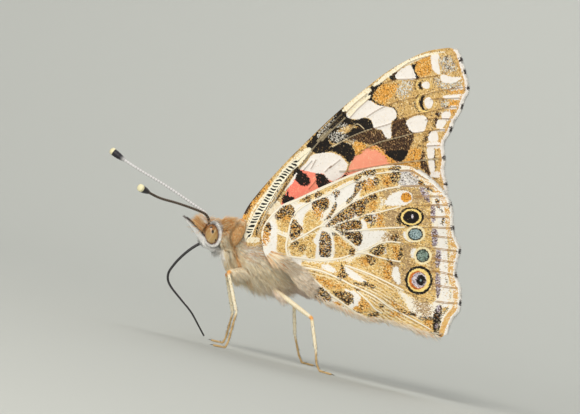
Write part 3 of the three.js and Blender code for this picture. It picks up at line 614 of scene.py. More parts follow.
forewing_net = WingNet(FOREWING_FRONT, FOREWING_MARGIN, FOREWING_REAR)
spots = forewing_net.points
forewing_fields = {
    name: depth_in(spots, FOREWING_MARKS.get(name, ()), FOREWING_STRIPES.get(name, ()))
    for name in ("salmon", "amber", "umber", "black", "fleck", "white", "cream", "ring")
}
for name, veins in FOREWING_VEINS.items():
    forewing_fields["vein_" + name] = depth_in(spots, strokes=[(0.0, *vein) for vein in veins])
gap, _, along, side = nearest_on(spots, rounded(tenths(LADDER_LINE)))
forewing_fields["ladder_along"] = along
forewing_fields["ladder_across"] = gap * side
forewing_fields["rim"] = nearest_on(spots, forewing_net.margin)[0]
tips = tenths(FOREWING_TIP_SPOTS)
forewing_fields["tip"] = np.linalg.norm(spots[:, None] - tips, axis=2).min(1)
forewing_fields["apex"] = np.linalg.norm(spots - (45.0, 8.5), axis=1)

surface, (draw, second_draw, third_draw) = scaled_surface("forewing_scales", LEAN + 0.6)
field = surface.field
east = surface.parts(surface.place())[0]
speckle = surface.parts(surface.noise(0.0004, output=1))[0]
colour = surface.pick(draw, (0.0, 112, 88, 60), (0.10, 190, 150, 88), (0.4, 210, 172, 106),
                      (0.72, 226, 194, 134), (0.92, 242, 222, 176))
pink = surface.mix(tint(247, 116, 102), tint(248, 160, 130), ((east + 0.0015) / 0.006).clipped())
pink = surface.mix(pink, tint(252, 196, 160), (third_draw - 0.82) * 3.0)
colour = laid(surface, colour, pink, field("salmon"), draw)
amber = surface.pick(third_draw, (0.0, 120, 76, 28), (0.12, 206, 146, 58), (0.4, 226, 160, 66),
                     (0.7, 238, 176, 88), (0.88, 240, 208, 140))
colour = laid(surface, colour, amber, field("amber"), second_draw, ragged=0.3, fullness=0.92)
umber = surface.pick(draw, (0.0, 44, 28, 16), (0.35, 66, 44, 26), (0.65, 92, 66, 44), (0.88, 132, 102, 72),
                     (0.97, 190, 150, 100))
colour = laid(surface, colour, umber, field("umber"), third_draw, ragged=0.25, fullness=0.97)
black = surface.mix(tint(18, 13, 9), tint(58, 42, 28), (draw - 0.85) * 6.0)
colour = laid(surface, colour, black, field("black"), second_draw, fullness=0.99)
grey = surface.pick(draw, (0.0, 150, 140, 130), (0.3, 206, 203, 190), (0.8, 232, 230, 222))
colour = laid(surface, colour, grey, field("fleck"), third_draw, ragged=0.5, fullness=0.6)
white = surface.mix(tint(248, 244, 239), tint(236, 228, 220), speckle)
white = surface.mix(white, tint(204, 192, 180), (third_draw - 0.93) * 8.0)
colour = laid(surface, colour, white, field("white"), draw, ragged=0.12)
cream = surface.mix(tint(249, 240, 214), tint(236, 216, 172), (second_draw - 0.75) * 6.0)
colour = laid(surface, colour, cream, field("cream"), third_draw, ragged=0.14)
colour = laid(surface, colour, tint(245, 214, 130), field("ring"), draw, ragged=0.12)
wander = surface.noise(0.0007, detail=1.0)
rung = ((field("ladder_along") + field("ladder_across") * 0.45 + wander * 0.5) / RUNG_PITCH).fraction()
breadth = field("ladder_across").absolute()
on_ladder = line_of(breadth, 0.36) * line_of(field("apex"), 31.0)
colour = surface.mix(colour, tint(246, 241, 218), on_ladder)
rung_width = 0.25 - wander * 0.1 + (0.3 - breadth) * 0.3
on_rung = on_ladder * line_of((rung - 0.5).absolute(), rung_width, 0.12) * line_of(breadth, 0.26)
colour = surface.mix(colour, tint(16, 12, 10), on_rung)
rim = field("rim")
colour = surface.mix(colour, tint(30, 20, 12), line_of(field("vein_cream"), 0.10) * 0.55)
colour = surface.mix(colour, tint(232, 212, 170), line_of(field("vein_cream"), 0.04))
near_edge = line_of(rim, 1.3, 0.5)
beside = field("vein_tan") - 0.17
colour = laid(surface, colour, white, beside, third_draw, ragged=0.2, fullness=0.9 * near_edge)
colour = surface.mix(colour, tint(118, 82, 46), line_of(field("vein_tan"), 0.055) * 0.85)
colour = surface.mix(colour, tint(58, 36, 18), line_of(field("vein_tan"), 0.035) * near_edge * 0.8)
colour = surface.mix(colour, tint(44, 26, 10), line_of(field("vein_dark"), 0.05) * 0.9)
edge_ochre = surface.mix(tint(226, 184, 112), tint(196, 140, 70), draw)
colour = laid(surface, colour, edge_ochre, rim - 0.62, second_draw, ragged=0.3, fullness=0.8)
colour = laid(surface, colour, white, rim - 0.42, second_draw, ragged=0.16, fullness=0.97)
colour = laid(surface, colour, tint(58, 44, 44), field("tip") - 0.24, draw, ragged=0.4, fullness=0.8)
upper = surface.mix(tint(206, 112, 48), tint(150, 78, 34), speckle)
upper = laid(surface, upper, tint(24, 18, 14), field("apex") - 9.0, draw, ragged=0.6)
upper = laid(surface, upper, tint(24, 18, 14), field("black"), draw)
upper = laid(surface, upper, tint(236, 232, 226), field("white"), draw)
surface.feed("Base Color", surface.mix(colour, upper, field("inner_face")))

veins_near = np.minimum.reduce([forewing_fields["vein_" + name] for name in FOREWING_VEINS])
relief = VEIN_RISE * np.exp(-(veins_near / VEIN_WIDTH) ** 2)
relief += 0.04 * np.exp(-((np.abs(forewing_fields["ladder_across"]) - 0.45) / 0.15) ** 2)
for name, side in (("forewing_left", -1), ("forewing_right", 1)):
    piece = forewing_net.build(name, side, forewing_spread(spots), relief, surface, **forewing_fields)

# The hindwings.
# Rounder and thinner than the forewings, and outermost in this pose: their front edges lie over the
# forewings, and behind the legs they bow out round the abdomen. Cream scales run along the veins, with
# marbled ochre, umber and grey cells between them, and a row of five ringed spots inside a banded edge.
HINDWING_HINGE = np.array([26.4, 24.9])
HINDWING_INSET = 1.4
HINDWING_EDGE_INSET = 0.75
HINDWING_ROOT_SPREAD = 2.55
HINDWING_ROOT_REACH = 0.32 * WING_LENGTH
BOW_SPREAD = 2.25
BOW_REACH = 4.2
BOW_LINE = np.array([[28.0, 26.8], [36.6, 30.3]])
HINDWING_FRONT = (262, 240, 262, 230, 268, 219, 280, 206, 300, 197, 330, 183, 360, 171, 380, 166.5, 400,
                  165.5)
HINDWING_MARGIN = (418, 169, 432, 179, 446, 194, 452, 207, 453, 220, 455, 235, 460.5, 249, 457.5, 262,
                   456.5, 274, 461, 288, 461, 302, 459, 312, 452, 321, 447, 335)
HINDWING_REAR = (435, 337, 420, 333.5, 400, 326, 380, 321.5, 360, 318, 340, 310, 320, 300, 306, 290, 292,
                 275, 278, 262, 266, 256)
HINDWING_VEINS = {
    "pale": [
        (262, 236, 265, 225, 272, 215, 282, 207, 300, 198.5, 320, 189.5, 350, 176, 375, 168.5, 390, 167),
        (288, 236, 290, 225, 293, 217, 297, 211, 305, 205, 315, 200, 325, 196, 335, 191, 345, 186, 355,
         181, 370, 175, 386, 172.5, 400, 171),
        (291, 242, 302, 236, 310, 231.5, 320, 226, 332, 226),
        (320, 226, 330, 217, 340, 210, 350, 203.5, 360, 199, 370, 194, 380, 190.5, 390, 188, 400, 186.7),
        (332, 226, 340, 223, 350, 219.5, 365, 215, 375, 213, 385, 210.5, 400, 206.5),
        (334, 228, 345, 231, 355, 230.5, 375, 228.5, 395, 227.5, 404, 227),
        (332, 229, 342, 236, 350, 242, 357, 249),
        (288, 256, 300, 257.5, 320, 260, 340, 258, 352, 254, 358, 252.5),
        (357, 252, 368, 249, 380, 243, 390, 241.5, 400, 242.5),
        (358, 252.5, 365, 253, 375, 256, 388, 259.5, 400, 261.5),
        (345, 265, 357, 269, 370, 274, 385, 281, 395, 286, 403, 290),
        (297, 266, 318, 269.6, 332, 275, 343, 280, 350, 284, 360, 288.5, 374, 295.5, 388, 306, 400, 312.4,
         416, 321, 430, 329),
        (357, 291, 364, 297, 370, 303, 374, 308, 381, 312.5), (278, 233, 288, 237),
        (304, 271, 313, 278, 321.6, 286.4, 329, 293, 339, 300, 347.5, 306, 357, 312.4, 366, 317.3),
        (288, 257, 286, 246, 288, 236),
    ],
    "tan": [
        (400, 171, 411, 171, 422, 177, 436, 182), (400, 186.7, 420, 186, 440, 187),
        (400, 206.5, 420, 205.5, 447, 205), (404, 227, 420, 227, 450, 228),
        (400, 242.5, 420, 246, 440, 249, 456, 251), (400, 261.5, 415, 266, 428, 269.5, 440, 272, 453, 275),
        (403, 290, 415, 296, 430, 300, 445, 302.5, 458, 303), (412, 197, 425, 196.5, 443, 196.5),
        (424, 217, 447, 217), (426, 234, 438, 236.5, 452, 238), (432, 258, 444, 261, 454, 262.5),
        (432, 284, 446, 287, 458, 288), (300, 238, 308, 233.5, 320, 227.5), (297, 212, 304, 206, 312, 202),
        (329, 221, 340, 211.5, 352, 204),
    ],
}
HINDWING_MARKS = {
    "ochre": [
        (278, 234, 287, 238, 287, 250, 283, 257, 277, 250, 274, 241),
        (305, 214, 312, 211, 318, 218, 321, 222, 319, 229, 308, 234, 303, 230),
        (276, 216, 283, 213, 291, 216, 292, 222, 289, 231, 283, 231, 278, 226),
        (300, 199, 320, 190.5, 345, 179.5, 365, 172, 378, 168, 390, 168, 388, 171, 370, 173, 345, 184, 320,
         195, 304, 203),
        (372, 172, 380, 169, 390, 173, 398, 172, 400, 180, 396, 186, 380, 190, 366, 195, 360, 196, 362,
         190, 372, 187, 379, 181),
        (306, 237, 316, 234, 317, 246, 316, 257, 308, 257, 304, 250, 303, 243),
        (293, 240, 302, 238, 305, 246, 304, 254, 294, 256, 289, 250),
        (335, 233, 342, 239, 350, 246, 355, 250, 352, 255, 344, 258, 334, 258, 332, 248),
        (364, 198, 377, 194, 380, 204, 372, 214, 362, 216),
        (372, 195, 385, 190, 400, 188, 420, 188, 430, 196, 432, 240, 440, 270, 434, 300, 420, 302, 404,
         292, 388, 284, 384, 262, 384, 244, 396, 240, 384, 230, 362, 229, 360, 217, 378, 211, 385, 200),
        (368, 248, 384, 243, 401, 243, 401, 258, 390, 260, 374, 257),
        (350, 262, 366, 254, 380, 258, 394, 262, 392, 284, 376, 279, 362, 272, 350, 268),
        (312, 264, 320, 262, 327, 265, 323, 270, 314, 268),
        (300, 262, 320, 263, 345, 261, 352, 268, 380, 280, 396, 290, 410, 312, 420, 320, 432, 319, 440,
         328, 428, 334, 400, 325, 372, 318, 350, 308, 330, 292, 310, 274),
        (443, 240, 450, 244, 448, 262, 449, 290, 446, 310, 442, 310, 443, 280),
    ],
    "tan": [
        (380, 188, 400, 187.5, 420, 188, 428, 198, 424, 206, 412, 204, 398, 206, 386, 206, 382, 196),
        (384, 211, 400, 208, 402, 224, 384, 228), (380, 232, 400, 229, 403, 240, 396, 242, 384, 242),
        (400, 243, 416, 246, 412, 262, 410, 272, 402, 288, 396, 284, 402, 262),
        (414, 299, 428, 303, 430, 316, 418, 314),
        (424, 246, 432, 250, 436, 268, 432, 292, 428, 270, 430, 256),
        (420, 208, 428, 214, 428, 226, 422, 226), (385, 262, 400, 262, 402, 285, 390, 280),
    ],
    "grey": [
        (397, 172, 415, 171, 418, 178, 416, 186, 402, 186, 396, 181),
        (366, 214, 376, 213, 380, 219, 370, 224, 363, 220), (370, 247, 384, 246, 386, 254, 374, 255),
        (262, 258, 269, 257, 270, 262, 264, 263), (312, 205, 322, 200, 329, 201, 327, 207, 316, 210),
    ],
    "lens": [
        (430.5, 206, 434, 206, 435, 214, 434, 222, 431, 222, 430, 214),
        (431, 229, 436, 229, 437.5, 237, 436, 246, 432, 245, 431, 237),
        (436, 250, 441, 252, 440, 262, 437, 269, 435, 262),
        (436, 272, 440, 276, 440, 292, 437, 299, 435, 288, 435, 280),
        (419, 188, 425, 188, 429, 196, 429, 203, 424, 199, 421, 194),
        (435.5, 323, 438, 324, 437, 328.5, 434.8, 327), (437, 305.5, 440, 306, 439.5, 312, 436, 311),
    ],
    "fold": [
        (348, 281, 362, 283, 378, 287, 392, 296, 404, 306, 418, 319, 412, 326, 398, 322, 386, 315, 374,
         305, 362, 294, 350, 287),
        (296, 262, 310, 266, 326, 270, 342, 278, 352, 285, 344, 284, 330, 279, 316, 275, 304, 270),
        (372, 310, 392, 318, 412, 324, 430, 331, 426, 335, 404, 328, 384, 322, 366, 318),
        (352, 266, 368, 272, 384, 280, 398, 288, 396, 292, 380, 285, 364, 278, 350, 270),
    ],
    "amber": [
        (262, 230, 270, 229, 270, 238, 267, 244, 263, 243),
        (312, 206, 322, 208, 323, 215, 319, 220, 314, 215),
        (292, 222, 300, 226, 302, 231, 298, 238, 292, 236),
        (276, 214, 288, 209, 294, 213, 292, 220, 283, 220),
        (317, 276, 326, 279, 336, 282, 345, 286, 342, 288.5, 334, 288, 325, 286, 318, 281),
        (302, 273, 307, 275, 312, 280, 312, 289, 308, 292, 303, 287),
        (333, 302, 338, 300.5, 342, 304, 341, 308, 335, 306.5),
        (352, 308, 357, 298, 364, 300, 371, 306, 363, 310, 357, 311),
        (390, 300, 400, 306, 408, 313, 404, 314, 394, 307), (390, 311, 400, 312, 401, 317, 391, 316),
        (268, 257, 284, 261, 281, 267, 269, 265),
        (362, 182, 370, 178, 378, 180, 377, 186, 366, 193, 362, 191),
        (348, 207, 358, 202, 366, 206, 362, 216, 352, 214),
        (370, 196, 376, 195, 377, 204, 372, 212, 369, 206),
        (336, 235, 343, 241, 350, 247, 345, 248, 336, 242), (392, 246, 401, 248, 400, 257, 393, 259),
        (382, 262, 391, 265, 391, 278, 385, 278), (376, 214, 382, 214, 383, 226, 377, 227),
        (382, 176, 392, 175, 392, 184, 384, 186), (424, 320, 432, 321, 432, 328, 426, 329),
        (360, 258, 370, 257, 372, 262, 364, 266),
    ],
    "umber": [
        (263, 230, 266, 224, 269, 222, 272, 226, 271, 231, 266, 231),
        (275, 216, 280, 209, 287, 204.5, 292, 206, 295, 212, 293, 218, 286, 216, 278, 220),
        (294, 219, 299, 224, 303, 230, 300, 233, 296, 239, 291, 239, 290, 231, 291, 224),
        (312, 203, 318, 200, 327, 197.5, 329, 203, 327, 209, 322, 211, 318, 206, 313, 208),
        (302, 200, 305, 197, 310, 195, 311, 199, 308, 203),
        (314, 195, 318, 191, 321, 192, 321, 196, 316, 198),
        (332, 194, 336, 190, 340, 192, 338, 196, 336, 201, 334, 197),
        (354, 178, 360, 173, 362, 175, 358, 181, 354, 182),
        (362, 173, 367, 170, 375, 170, 375, 175, 367, 176.5), (388, 168, 399, 166, 399, 170, 389, 170.5),
        (355, 185, 362, 181, 366, 181, 360, 190, 352, 200, 347, 204, 346, 201, 353, 194),
        (374, 177, 379, 180, 377, 186, 374, 183), (390, 174, 399, 172, 400, 179, 394, 184, 391, 181),
        (321, 233, 325, 231.5, 329, 234, 331, 240, 331, 248, 330, 256, 325, 257, 320, 255, 319, 247, 319.5,
         240),
        (291, 244, 296, 240.5, 299, 243, 295, 247), (299, 246, 303, 244.5, 306, 248, 302, 251, 298, 250),
        (331, 232, 337, 234.5, 335, 237), (350, 248, 355, 249, 353, 256, 349, 254),
        (324, 221, 329, 214, 333, 206, 336, 202, 336, 208, 330, 218),
        (326, 225, 333, 218, 341, 211, 350, 207, 356, 210, 353, 218, 343, 221, 335, 224.5, 329, 227),
        (349, 206, 360, 199.5, 366, 197, 375, 194, 377, 199, 366, 204, 364, 215, 360, 217, 353, 213),
        (334, 227.5, 340, 224, 350, 220.5, 358, 220, 361, 224, 361, 229, 350, 230, 340, 231, 336, 230),
        (338, 231.5, 350, 232, 360, 231.5, 362.5, 237, 361, 243, 357, 246, 351, 242, 345, 237),
        (364, 216, 370, 215, 372, 220, 366, 222), (370, 227, 372, 219, 376, 216, 374, 224),
        (369, 251, 376, 246, 383, 244, 385, 249, 382, 255, 376, 256, 372, 253),
        (386, 258, 391, 261, 393, 266, 390, 265), (366, 255, 374, 257, 375, 263, 371, 265, 367, 260),
        (401, 246, 402, 256, 398, 260, 399, 250),
        (341, 263, 343, 267, 346, 273, 342, 278, 337, 277, 340, 270),
        (315, 290, 320, 286, 327, 291, 331, 296, 330, 302, 322, 301, 314, 296),
        (302, 282, 306, 277, 311, 279, 313, 284, 311, 291, 307, 292, 303, 288),
        (332, 291, 338, 290.5, 345, 291, 352, 294, 352.5, 299, 349, 304, 345, 303, 340, 299, 335, 295),
        (336, 277, 341, 272, 343, 266, 346, 272, 348, 275, 343, 278),
        (366, 315, 372, 312, 378, 311, 378, 313, 370, 316),
        (353, 282, 362, 283, 372, 285, 376, 288, 366, 286, 356, 284),
        (362, 281, 370, 283, 376, 287, 370, 287), (378, 303, 384, 305, 380, 308),
        (354, 287, 360, 289, 356, 290), (400, 309, 415, 313, 415, 316, 400, 313),
        (353, 309, 358, 311, 366, 311, 360, 313), (369, 312, 378, 314, 376, 317),
        (420, 317, 433, 317, 433, 319.5, 420, 319.5), (418, 180, 422, 181, 424, 186, 418, 184),
        (424, 186, 434, 190, 433, 192, 425, 189), (435, 199, 439, 199, 438, 204, 435, 203),
        (437, 204, 443, 211, 441, 212.5, 436, 207), (441, 218, 444, 218, 443, 225, 440, 224),
        (390, 239, 395, 233, 398, 236, 396, 241), (430, 332, 440, 331, 444, 334, 432, 335),
        (350, 293, 354, 300, 351, 303), (323, 238, 328, 238, 327, 252, 323, 252),
    ],
    "black": [
        (351, 222, 359, 221, 361, 225, 361, 229, 353, 229),
        (353, 233, 360, 232.5, 362, 237, 361, 243, 358, 244, 354, 239),
        (264, 228, 268, 223, 271, 227, 268, 229),
        (434, 310, 439, 304, 441.5, 308, 440.5, 320, 439, 328, 436, 333, 432.5, 329, 432.5, 318),
        (279, 256.5, 283, 256.5, 283, 258.5, 279, 258.5), (322, 199.5, 328, 200, 328, 207, 324, 205),
        (396, 217, 399, 215, 400, 224, 396.5, 223), (356, 200, 362, 201, 362, 207, 358, 206),
    ],
    "white": [
        (270, 221, 275, 224, 277, 235, 276, 250, 270, 256, 264, 250, 269, 244, 271, 234),
        (296, 206, 306, 203, 309, 208, 303, 218, 303, 226, 300, 222, 297, 213),
        (340, 186, 354, 180, 354, 190, 348, 199, 338, 205, 332, 203, 328, 198, 332, 192),
        (360, 231, 372, 231, 384, 231.5, 379, 240, 369, 247, 358, 251, 355, 247, 361, 243),
        (384, 204.5, 388, 197, 393, 193, 400, 191, 407, 191.5, 412, 196, 410, 202, 403, 205, 393, 205.5),
        (404, 231, 408, 232, 409, 238, 413, 241, 408, 241, 403, 236),
        (411, 249, 416, 249, 415, 257, 411, 257), (322, 264, 330, 265, 336, 271, 330, 272, 322, 268),
        (361, 220, 366, 222, 367, 230, 362, 230), (352, 290, 357, 293, 358, 304, 353, 303),
        (344, 266, 352, 270, 360, 276, 367, 282, 358, 281, 350, 277, 344, 271),
        (343, 288, 356, 292, 360, 298, 352, 308, 348, 306, 354, 297, 346, 291),
        (313, 278, 318, 283, 322, 288, 316, 290, 313, 284),
        (393, 268, 397, 266, 399.5, 273, 400, 284, 395, 282, 391.5, 275),
        (313, 240, 319, 234, 318, 256, 315, 258, 316, 246),
        (331, 236, 334, 242, 334, 254, 331, 258, 332, 248), (288, 258, 300, 259, 300, 266, 290, 266),
        (353, 209, 356, 211, 357, 217, 354, 217),
    ],
}
# Centre, half width and half height in tenths of a millimetre, then each ring from the outside in: how much
# of the spot it fills, and its paint.
EYESPOTS = [
    ((410.8, 217), (12.4, 9.8), ((1.0, "soot"), (0.83, "straw"), (0.66, "soot"))),
    ((412.0, 216.6), (1.3, 2.0), ((1.0, "lilac"),)),
    ((415.0, 234.0), (10.0, 8.2), ((1.0, "butter"), (0.76, "soot"), (0.62, "slate"))),
    ((422.3, 255.6), (9.0, 9.0), ((1.0, "butter"), (0.74, "soot"), (0.62, "moss"))),
    ((418.5, 280), (13.8, 14.4), ((1.0, "soot"), (0.82, "straw"))),
    ((417.4, 280), (8.8, 9.2), ((1.0, "rust"),)),
    ((418.8, 280), (7.4, 7.9), ((1.0, "lilac"),)),
    ((420.6, 280.2), (4.6, 5.4), ((1.0, "soot"), (0.24, "slate"))),
    ((405.6, 197.4), (5.6, 4.8), ((1.0, "honey"),)),
]
HINDWING_TIP_SPOTS = (449, 205, 452, 228, 459, 251.5, 456, 275, 461, 303, 449, 192, 440, 335, 446, 186)
WHITE_BAND = (428, 176, 438, 190, 441, 206, 441, 222, 443, 238, 443, 255, 443.5, 272, 445, 290, 444, 303)
CREASE_LINE = (297, 266, 332, 275, 350, 284, 374, 295.5, 400, 312.4, 430, 329)
CREASE_PITCH = 0.30
CREASE_START = 20.0
FRONT_EDGE_END = (44.6, 20.3)


def hindwing_spread(points):
    """How far the hindwing stands from the middle plane, in mm."""
    front_start, front_run = HINDWING_HINGE, FRONT_EDGE_END - HINDWING_HINGE
    share = np.clip((points[:, 0] - front_start[0]) / front_run[0], 0, 1)
    below = points[:, 1] - (front_start[1] + front_run[1] * share)
    blade = HINDWING_EDGE_INSET + (HINDWING_INSET - HINDWING_EDGE_INSET) * ease_off((below - 0.3) / 6.0)
    root = np.linalg.norm(points - HINDWING_HINGE, axis=1) / HINDWING_ROOT_REACH
    bow = nearest_on(points, BOW_LINE)[0] / BOW_REACH
    return np.maximum(blade + (HINDWING_ROOT_SPREAD - blade) * ease_off(root),
                      blade + (BOW_SPREAD - blade) * ease_off(bow))


hindwing_net = WingNet(HINDWING_FRONT, HINDWING_MARGIN, HINDWING_REAR)
spots = hindwing_net.points
hindwing_fields = {name: depth_in(spots, marks) for name, marks in HINDWING_MARKS.items()}
for name, veins in HINDWING_VEINS.items():
    hindwing_fields["vein_" + name] = depth_in(spots, strokes=[(0.0, *vein) for vein in veins])
hindwing_fields["rim"] = nearest_on(spots, hindwing_net.margin)[0]
gap, _, _, side = nearest_on(spots, rounded(tenths(CREASE_LINE)))
hindwing_fields["crease"] = CREASE_START + gap * side
hindwing_fields["band"] = nearest_on(spots, rounded(tenths(WHITE_BAND)))[0]
tips = tenths(HINDWING_TIP_SPOTS)
hindwing_fields["tip"] = np.linalg.norm(spots[:, None] - tips, axis=2).min(1)
hindwing_fields["reach"] = np.linalg.norm(spots - HINDWING_HINGE, axis=1)
for number, (centre, halves, _) in enumerate(EYESPOTS):
    offset = (spots * 10 - centre) / halves
    hindwing_fields[f"eyespot_{number}"] = np.linalg.norm(offset, axis=1)

surface, (draw, second_draw, third_draw) = scaled_surface("hindwing_scales", LEAN - 0.2)
field = surface.field
cloud = surface.parts(surface.noise(0.0007, output=1))
colour = surface.mix(tint(250, 246, 238), tint(240, 230, 208), cloud[0])
colour = surface.mix(colour, tint(206, 190, 160), (draw - 0.9) * 6.0)
butter = surface.mix(tint(247, 230, 180), tint(236, 208, 146), second_draw)
colour = laid(surface, colour, butter, field("ochre") - 0.10, draw, ragged=0.4, fullness=0.85)
ochre = surface.pick(draw, (0.0, 122, 94, 54), (0.08, 200, 158, 90), (0.32, 220, 180, 106),
                     (0.62, 233, 198, 128), (0.86, 244, 224, 172))
colour = laid(surface, colour, ochre, field("ochre"), third_draw, ragged=0.3, fullness=0.94)
tan = surface.pick(second_draw, (0.0, 146, 118, 84), (0.3, 176, 146, 104), (0.65, 200, 170, 124))
colour = laid(surface, colour, tan, field("tan"), third_draw, ragged=1.0, fullness=0.85)
grey = surface.pick(third_draw, (0.0, 104, 94, 90), (0.16, 178, 172, 170), (0.45, 216, 211, 208),
                    (0.8, 240, 236, 230))
colour = laid(surface, colour, grey, field("grey"), draw, ragged=0.25, fullness=0.9)
crease = ((field("crease") + cloud[1] * 0.3) / CREASE_PITCH).fraction()
broken = (cloud[0] * 3.0 - 0.9).clipped()
pleat = surface.mix(ochre, tint(246, 236, 208), line_of(crease, 0.36, 0.2) * (broken * 0.5 + 0.4))
# Painted shade: a dark line where each pleat's groove lies.
painted_groove_shade = line_of((crease - 0.62).absolute(), 0.1, 0.1)
pleat = surface.mix(pleat, tint(132, 108, 72), painted_groove_shade * broken * 0.75)
colour = laid(surface, colour, pleat, field("fold"), draw, ragged=0.5, fullness=0.96)
amber = surface.pick(third_draw, (0.0, 70, 46, 24), (0.16, 196, 134, 52), (0.45, 222, 158, 68),
                     (0.75, 240, 194, 112), (0.92, 246, 226, 172))
colour = laid(surface, colour, amber, field("amber"), second_draw, ragged=0.4, fullness=0.85)
umber = surface.pick(second_draw, (0.0, 30, 22, 16), (0.44, 66, 48, 32), (0.60, 200, 142, 60),
                     (0.76, 230, 200, 136), (0.90, 150, 132, 112))
colour = laid(surface, colour, umber, field("umber"), draw, ragged=0.24, fullness=0.92)
outline = line_of((field("umber") + 0.05).absolute(), 0.05, 0.06)
colour = surface.mix(colour, tint(34, 24, 16), outline * ((0.8 - third_draw) * 4.0).clipped() * 0.8)
black = surface.mix(tint(24, 17, 12), tint(150, 100, 40), (second_draw - 0.85) * 7.0)
colour = laid(surface, colour, black, field("black"), third_draw, ragged=0.2, fullness=0.95)
pearl = surface.mix(tint(249, 247, 243), tint(236, 231, 222), cloud[1])
pearl = surface.mix(pearl, tint(200, 190, 172), (third_draw - 0.92) * 8.0)
colour = laid(surface, colour, pearl, field("white"), draw, ragged=0.2)
outward = (field("reach") / 24.0).clipped()
colour = surface.mix(colour, tint(120, 88, 52), line_of(field("vein_tan"), 0.04) * 0.7)
colour = surface.mix(colour, tint(122, 92, 58), line_of(field("vein_pale"), 0.13 - outward * 0.05) * 0.35)
colour = surface.mix(colour, tint(249, 241, 220), line_of(field("vein_pale"), 0.095 - outward * 0.045))
band = field("band")
rim = field("rim")
colour = laid(surface, colour, pearl, band - 0.42, second_draw, ragged=0.2, fullness=0.94)
lens = surface.pick(third_draw, (0.0, 84, 62, 54), (0.3, 134, 112, 112), (0.55, 178, 168, 184),
                    (0.85, 222, 214, 218))
colour = laid(surface, colour, lens, field("lens"), draw, ragged=0.16, fullness=0.9)
colour = laid(surface, colour, umber, field("umber"), draw, ragged=0.22, fullness=0.8)
beside = line_of((field("vein_tan") - 0.07).absolute(), 0.03, 0.04)
colour = surface.mix(colour, tint(166, 124, 68), beside * line_of(rim, 2.5, 0.3) * 0.9)
between = ((field("vein_tan") - 0.3) * 4.0).clipped()
dashes = (rim - 1.16).absolute() - 0.09
colour = laid(surface, colour, tint(142, 130, 104), dashes, draw, ragged=0.14, fullness=between * 0.6)
edge_ochre = surface.mix(tint(234, 198, 128), tint(208, 150, 78), draw)
ochre_share = 0.55 + between * 0.4
colour = laid(surface, colour, edge_ochre, rim - 0.86, second_draw, ragged=0.14, fullness=ochre_share)
colour = surface.mix(colour, tint(120, 84, 44), line_of(field("vein_tan"), 0.03) * line_of(rim, 0.95) * 0.8)
colour = laid(surface, colour, pearl, rim - 0.38, third_draw, ragged=0.14, fullness=0.97)
colour = laid(surface, colour, tint(64, 50, 46), field("tip") - 0.22, draw, ragged=0.4, fullness=0.75)
paints = {
    "soot": surface.mix(tint(16, 12, 10), tint(52, 38, 26), (draw - 0.9) * 8.0),
    "straw": surface.mix(tint(251, 228, 152), tint(240, 204, 116), second_draw),
    "butter": surface.mix(tint(250, 240, 206), tint(238, 216, 156), second_draw),
    "slate": surface.pick(draw, (0.0, 70, 84, 88), (0.2, 134, 158, 162), (0.7, 178, 198, 200)),
    "moss": surface.pick(draw, (0.0, 54, 64, 56), (0.25, 112, 134, 122), (0.75, 150, 170, 160)),
    "lilac": surface.pick(draw, (0.0, 90, 70, 66), (0.14, 184, 174, 186), (0.6, 220, 212, 216)),
    "rust": surface.mix(tint(208, 116, 42), tint(120, 58, 20), (draw - 0.7) * 4.0),
    "honey": surface.pick(draw, (0.0, 130, 76, 26), (0.25, 216, 146, 44), (0.7, 236, 170, 66)),
}
for number, (_, halves, rings) in enumerate(EYESPOTS):
    size = (halves[0] + halves[1]) / 20
    for share, paint in rings:
        edge = (field(f"eyespot_{number}") - share) * size
        colour = laid(surface, colour, paints[paint], edge, third_draw, ragged=0.10)
upper = surface.mix(tint(204, 122, 60), tint(146, 88, 50), cloud[2])
upper = laid(surface, upper, tint(28, 20, 14), field("black"), draw)
upper = laid(surface, upper, tint(34, 24, 18), rim - 0.9, draw, ragged=0.5)
surface.feed("Base Color", surface.mix(colour, upper, field("inner_face")))

veins_near = np.minimum(hindwing_fields["vein_pale"], hindwing_fields["vein_tan"] + 0.06)
relief = VEIN_RISE * np.exp(-(veins_near / VEIN_WIDTH) ** 2)
for name, side in (("hindwing_left", -1), ("hindwing_right", 1)):
    piece = hindwing_net.build(name, side, hindwing_spread(spots), relief, surface, **hindwing_fields)

# The fringe.
# Short flat hairs in two rows stand out past the wings' outer edges, white between the veins and dark at the
# veins' ends. Each is a closed blade that narrows to a point.
UV_PATCH = 0.003
FRINGE_LENGTH = 0.40
FRINGE_PITCH = 0.035
FRINGE_DENSITY = 4.4
FRINGE_HAIR = 0.07
TIP_SPOT_RADIUS = 0.26


def unit(vectors):
    return vectors / np.maximum(np.linalg.norm(vectors, axis=-1, keepdims=True), 1e-9)


def run_along(line):
    """How far along a line each of its points is."""
    return np.concatenate([[0], np.cumsum(np.linalg.norm(np.diff(line, axis=0), axis=1))])


def on_line(line, run, stops):
    """The places on a line at given distances along it."""
    return np.stack([np.interp(stops, run, column) for column in line.T], 1)


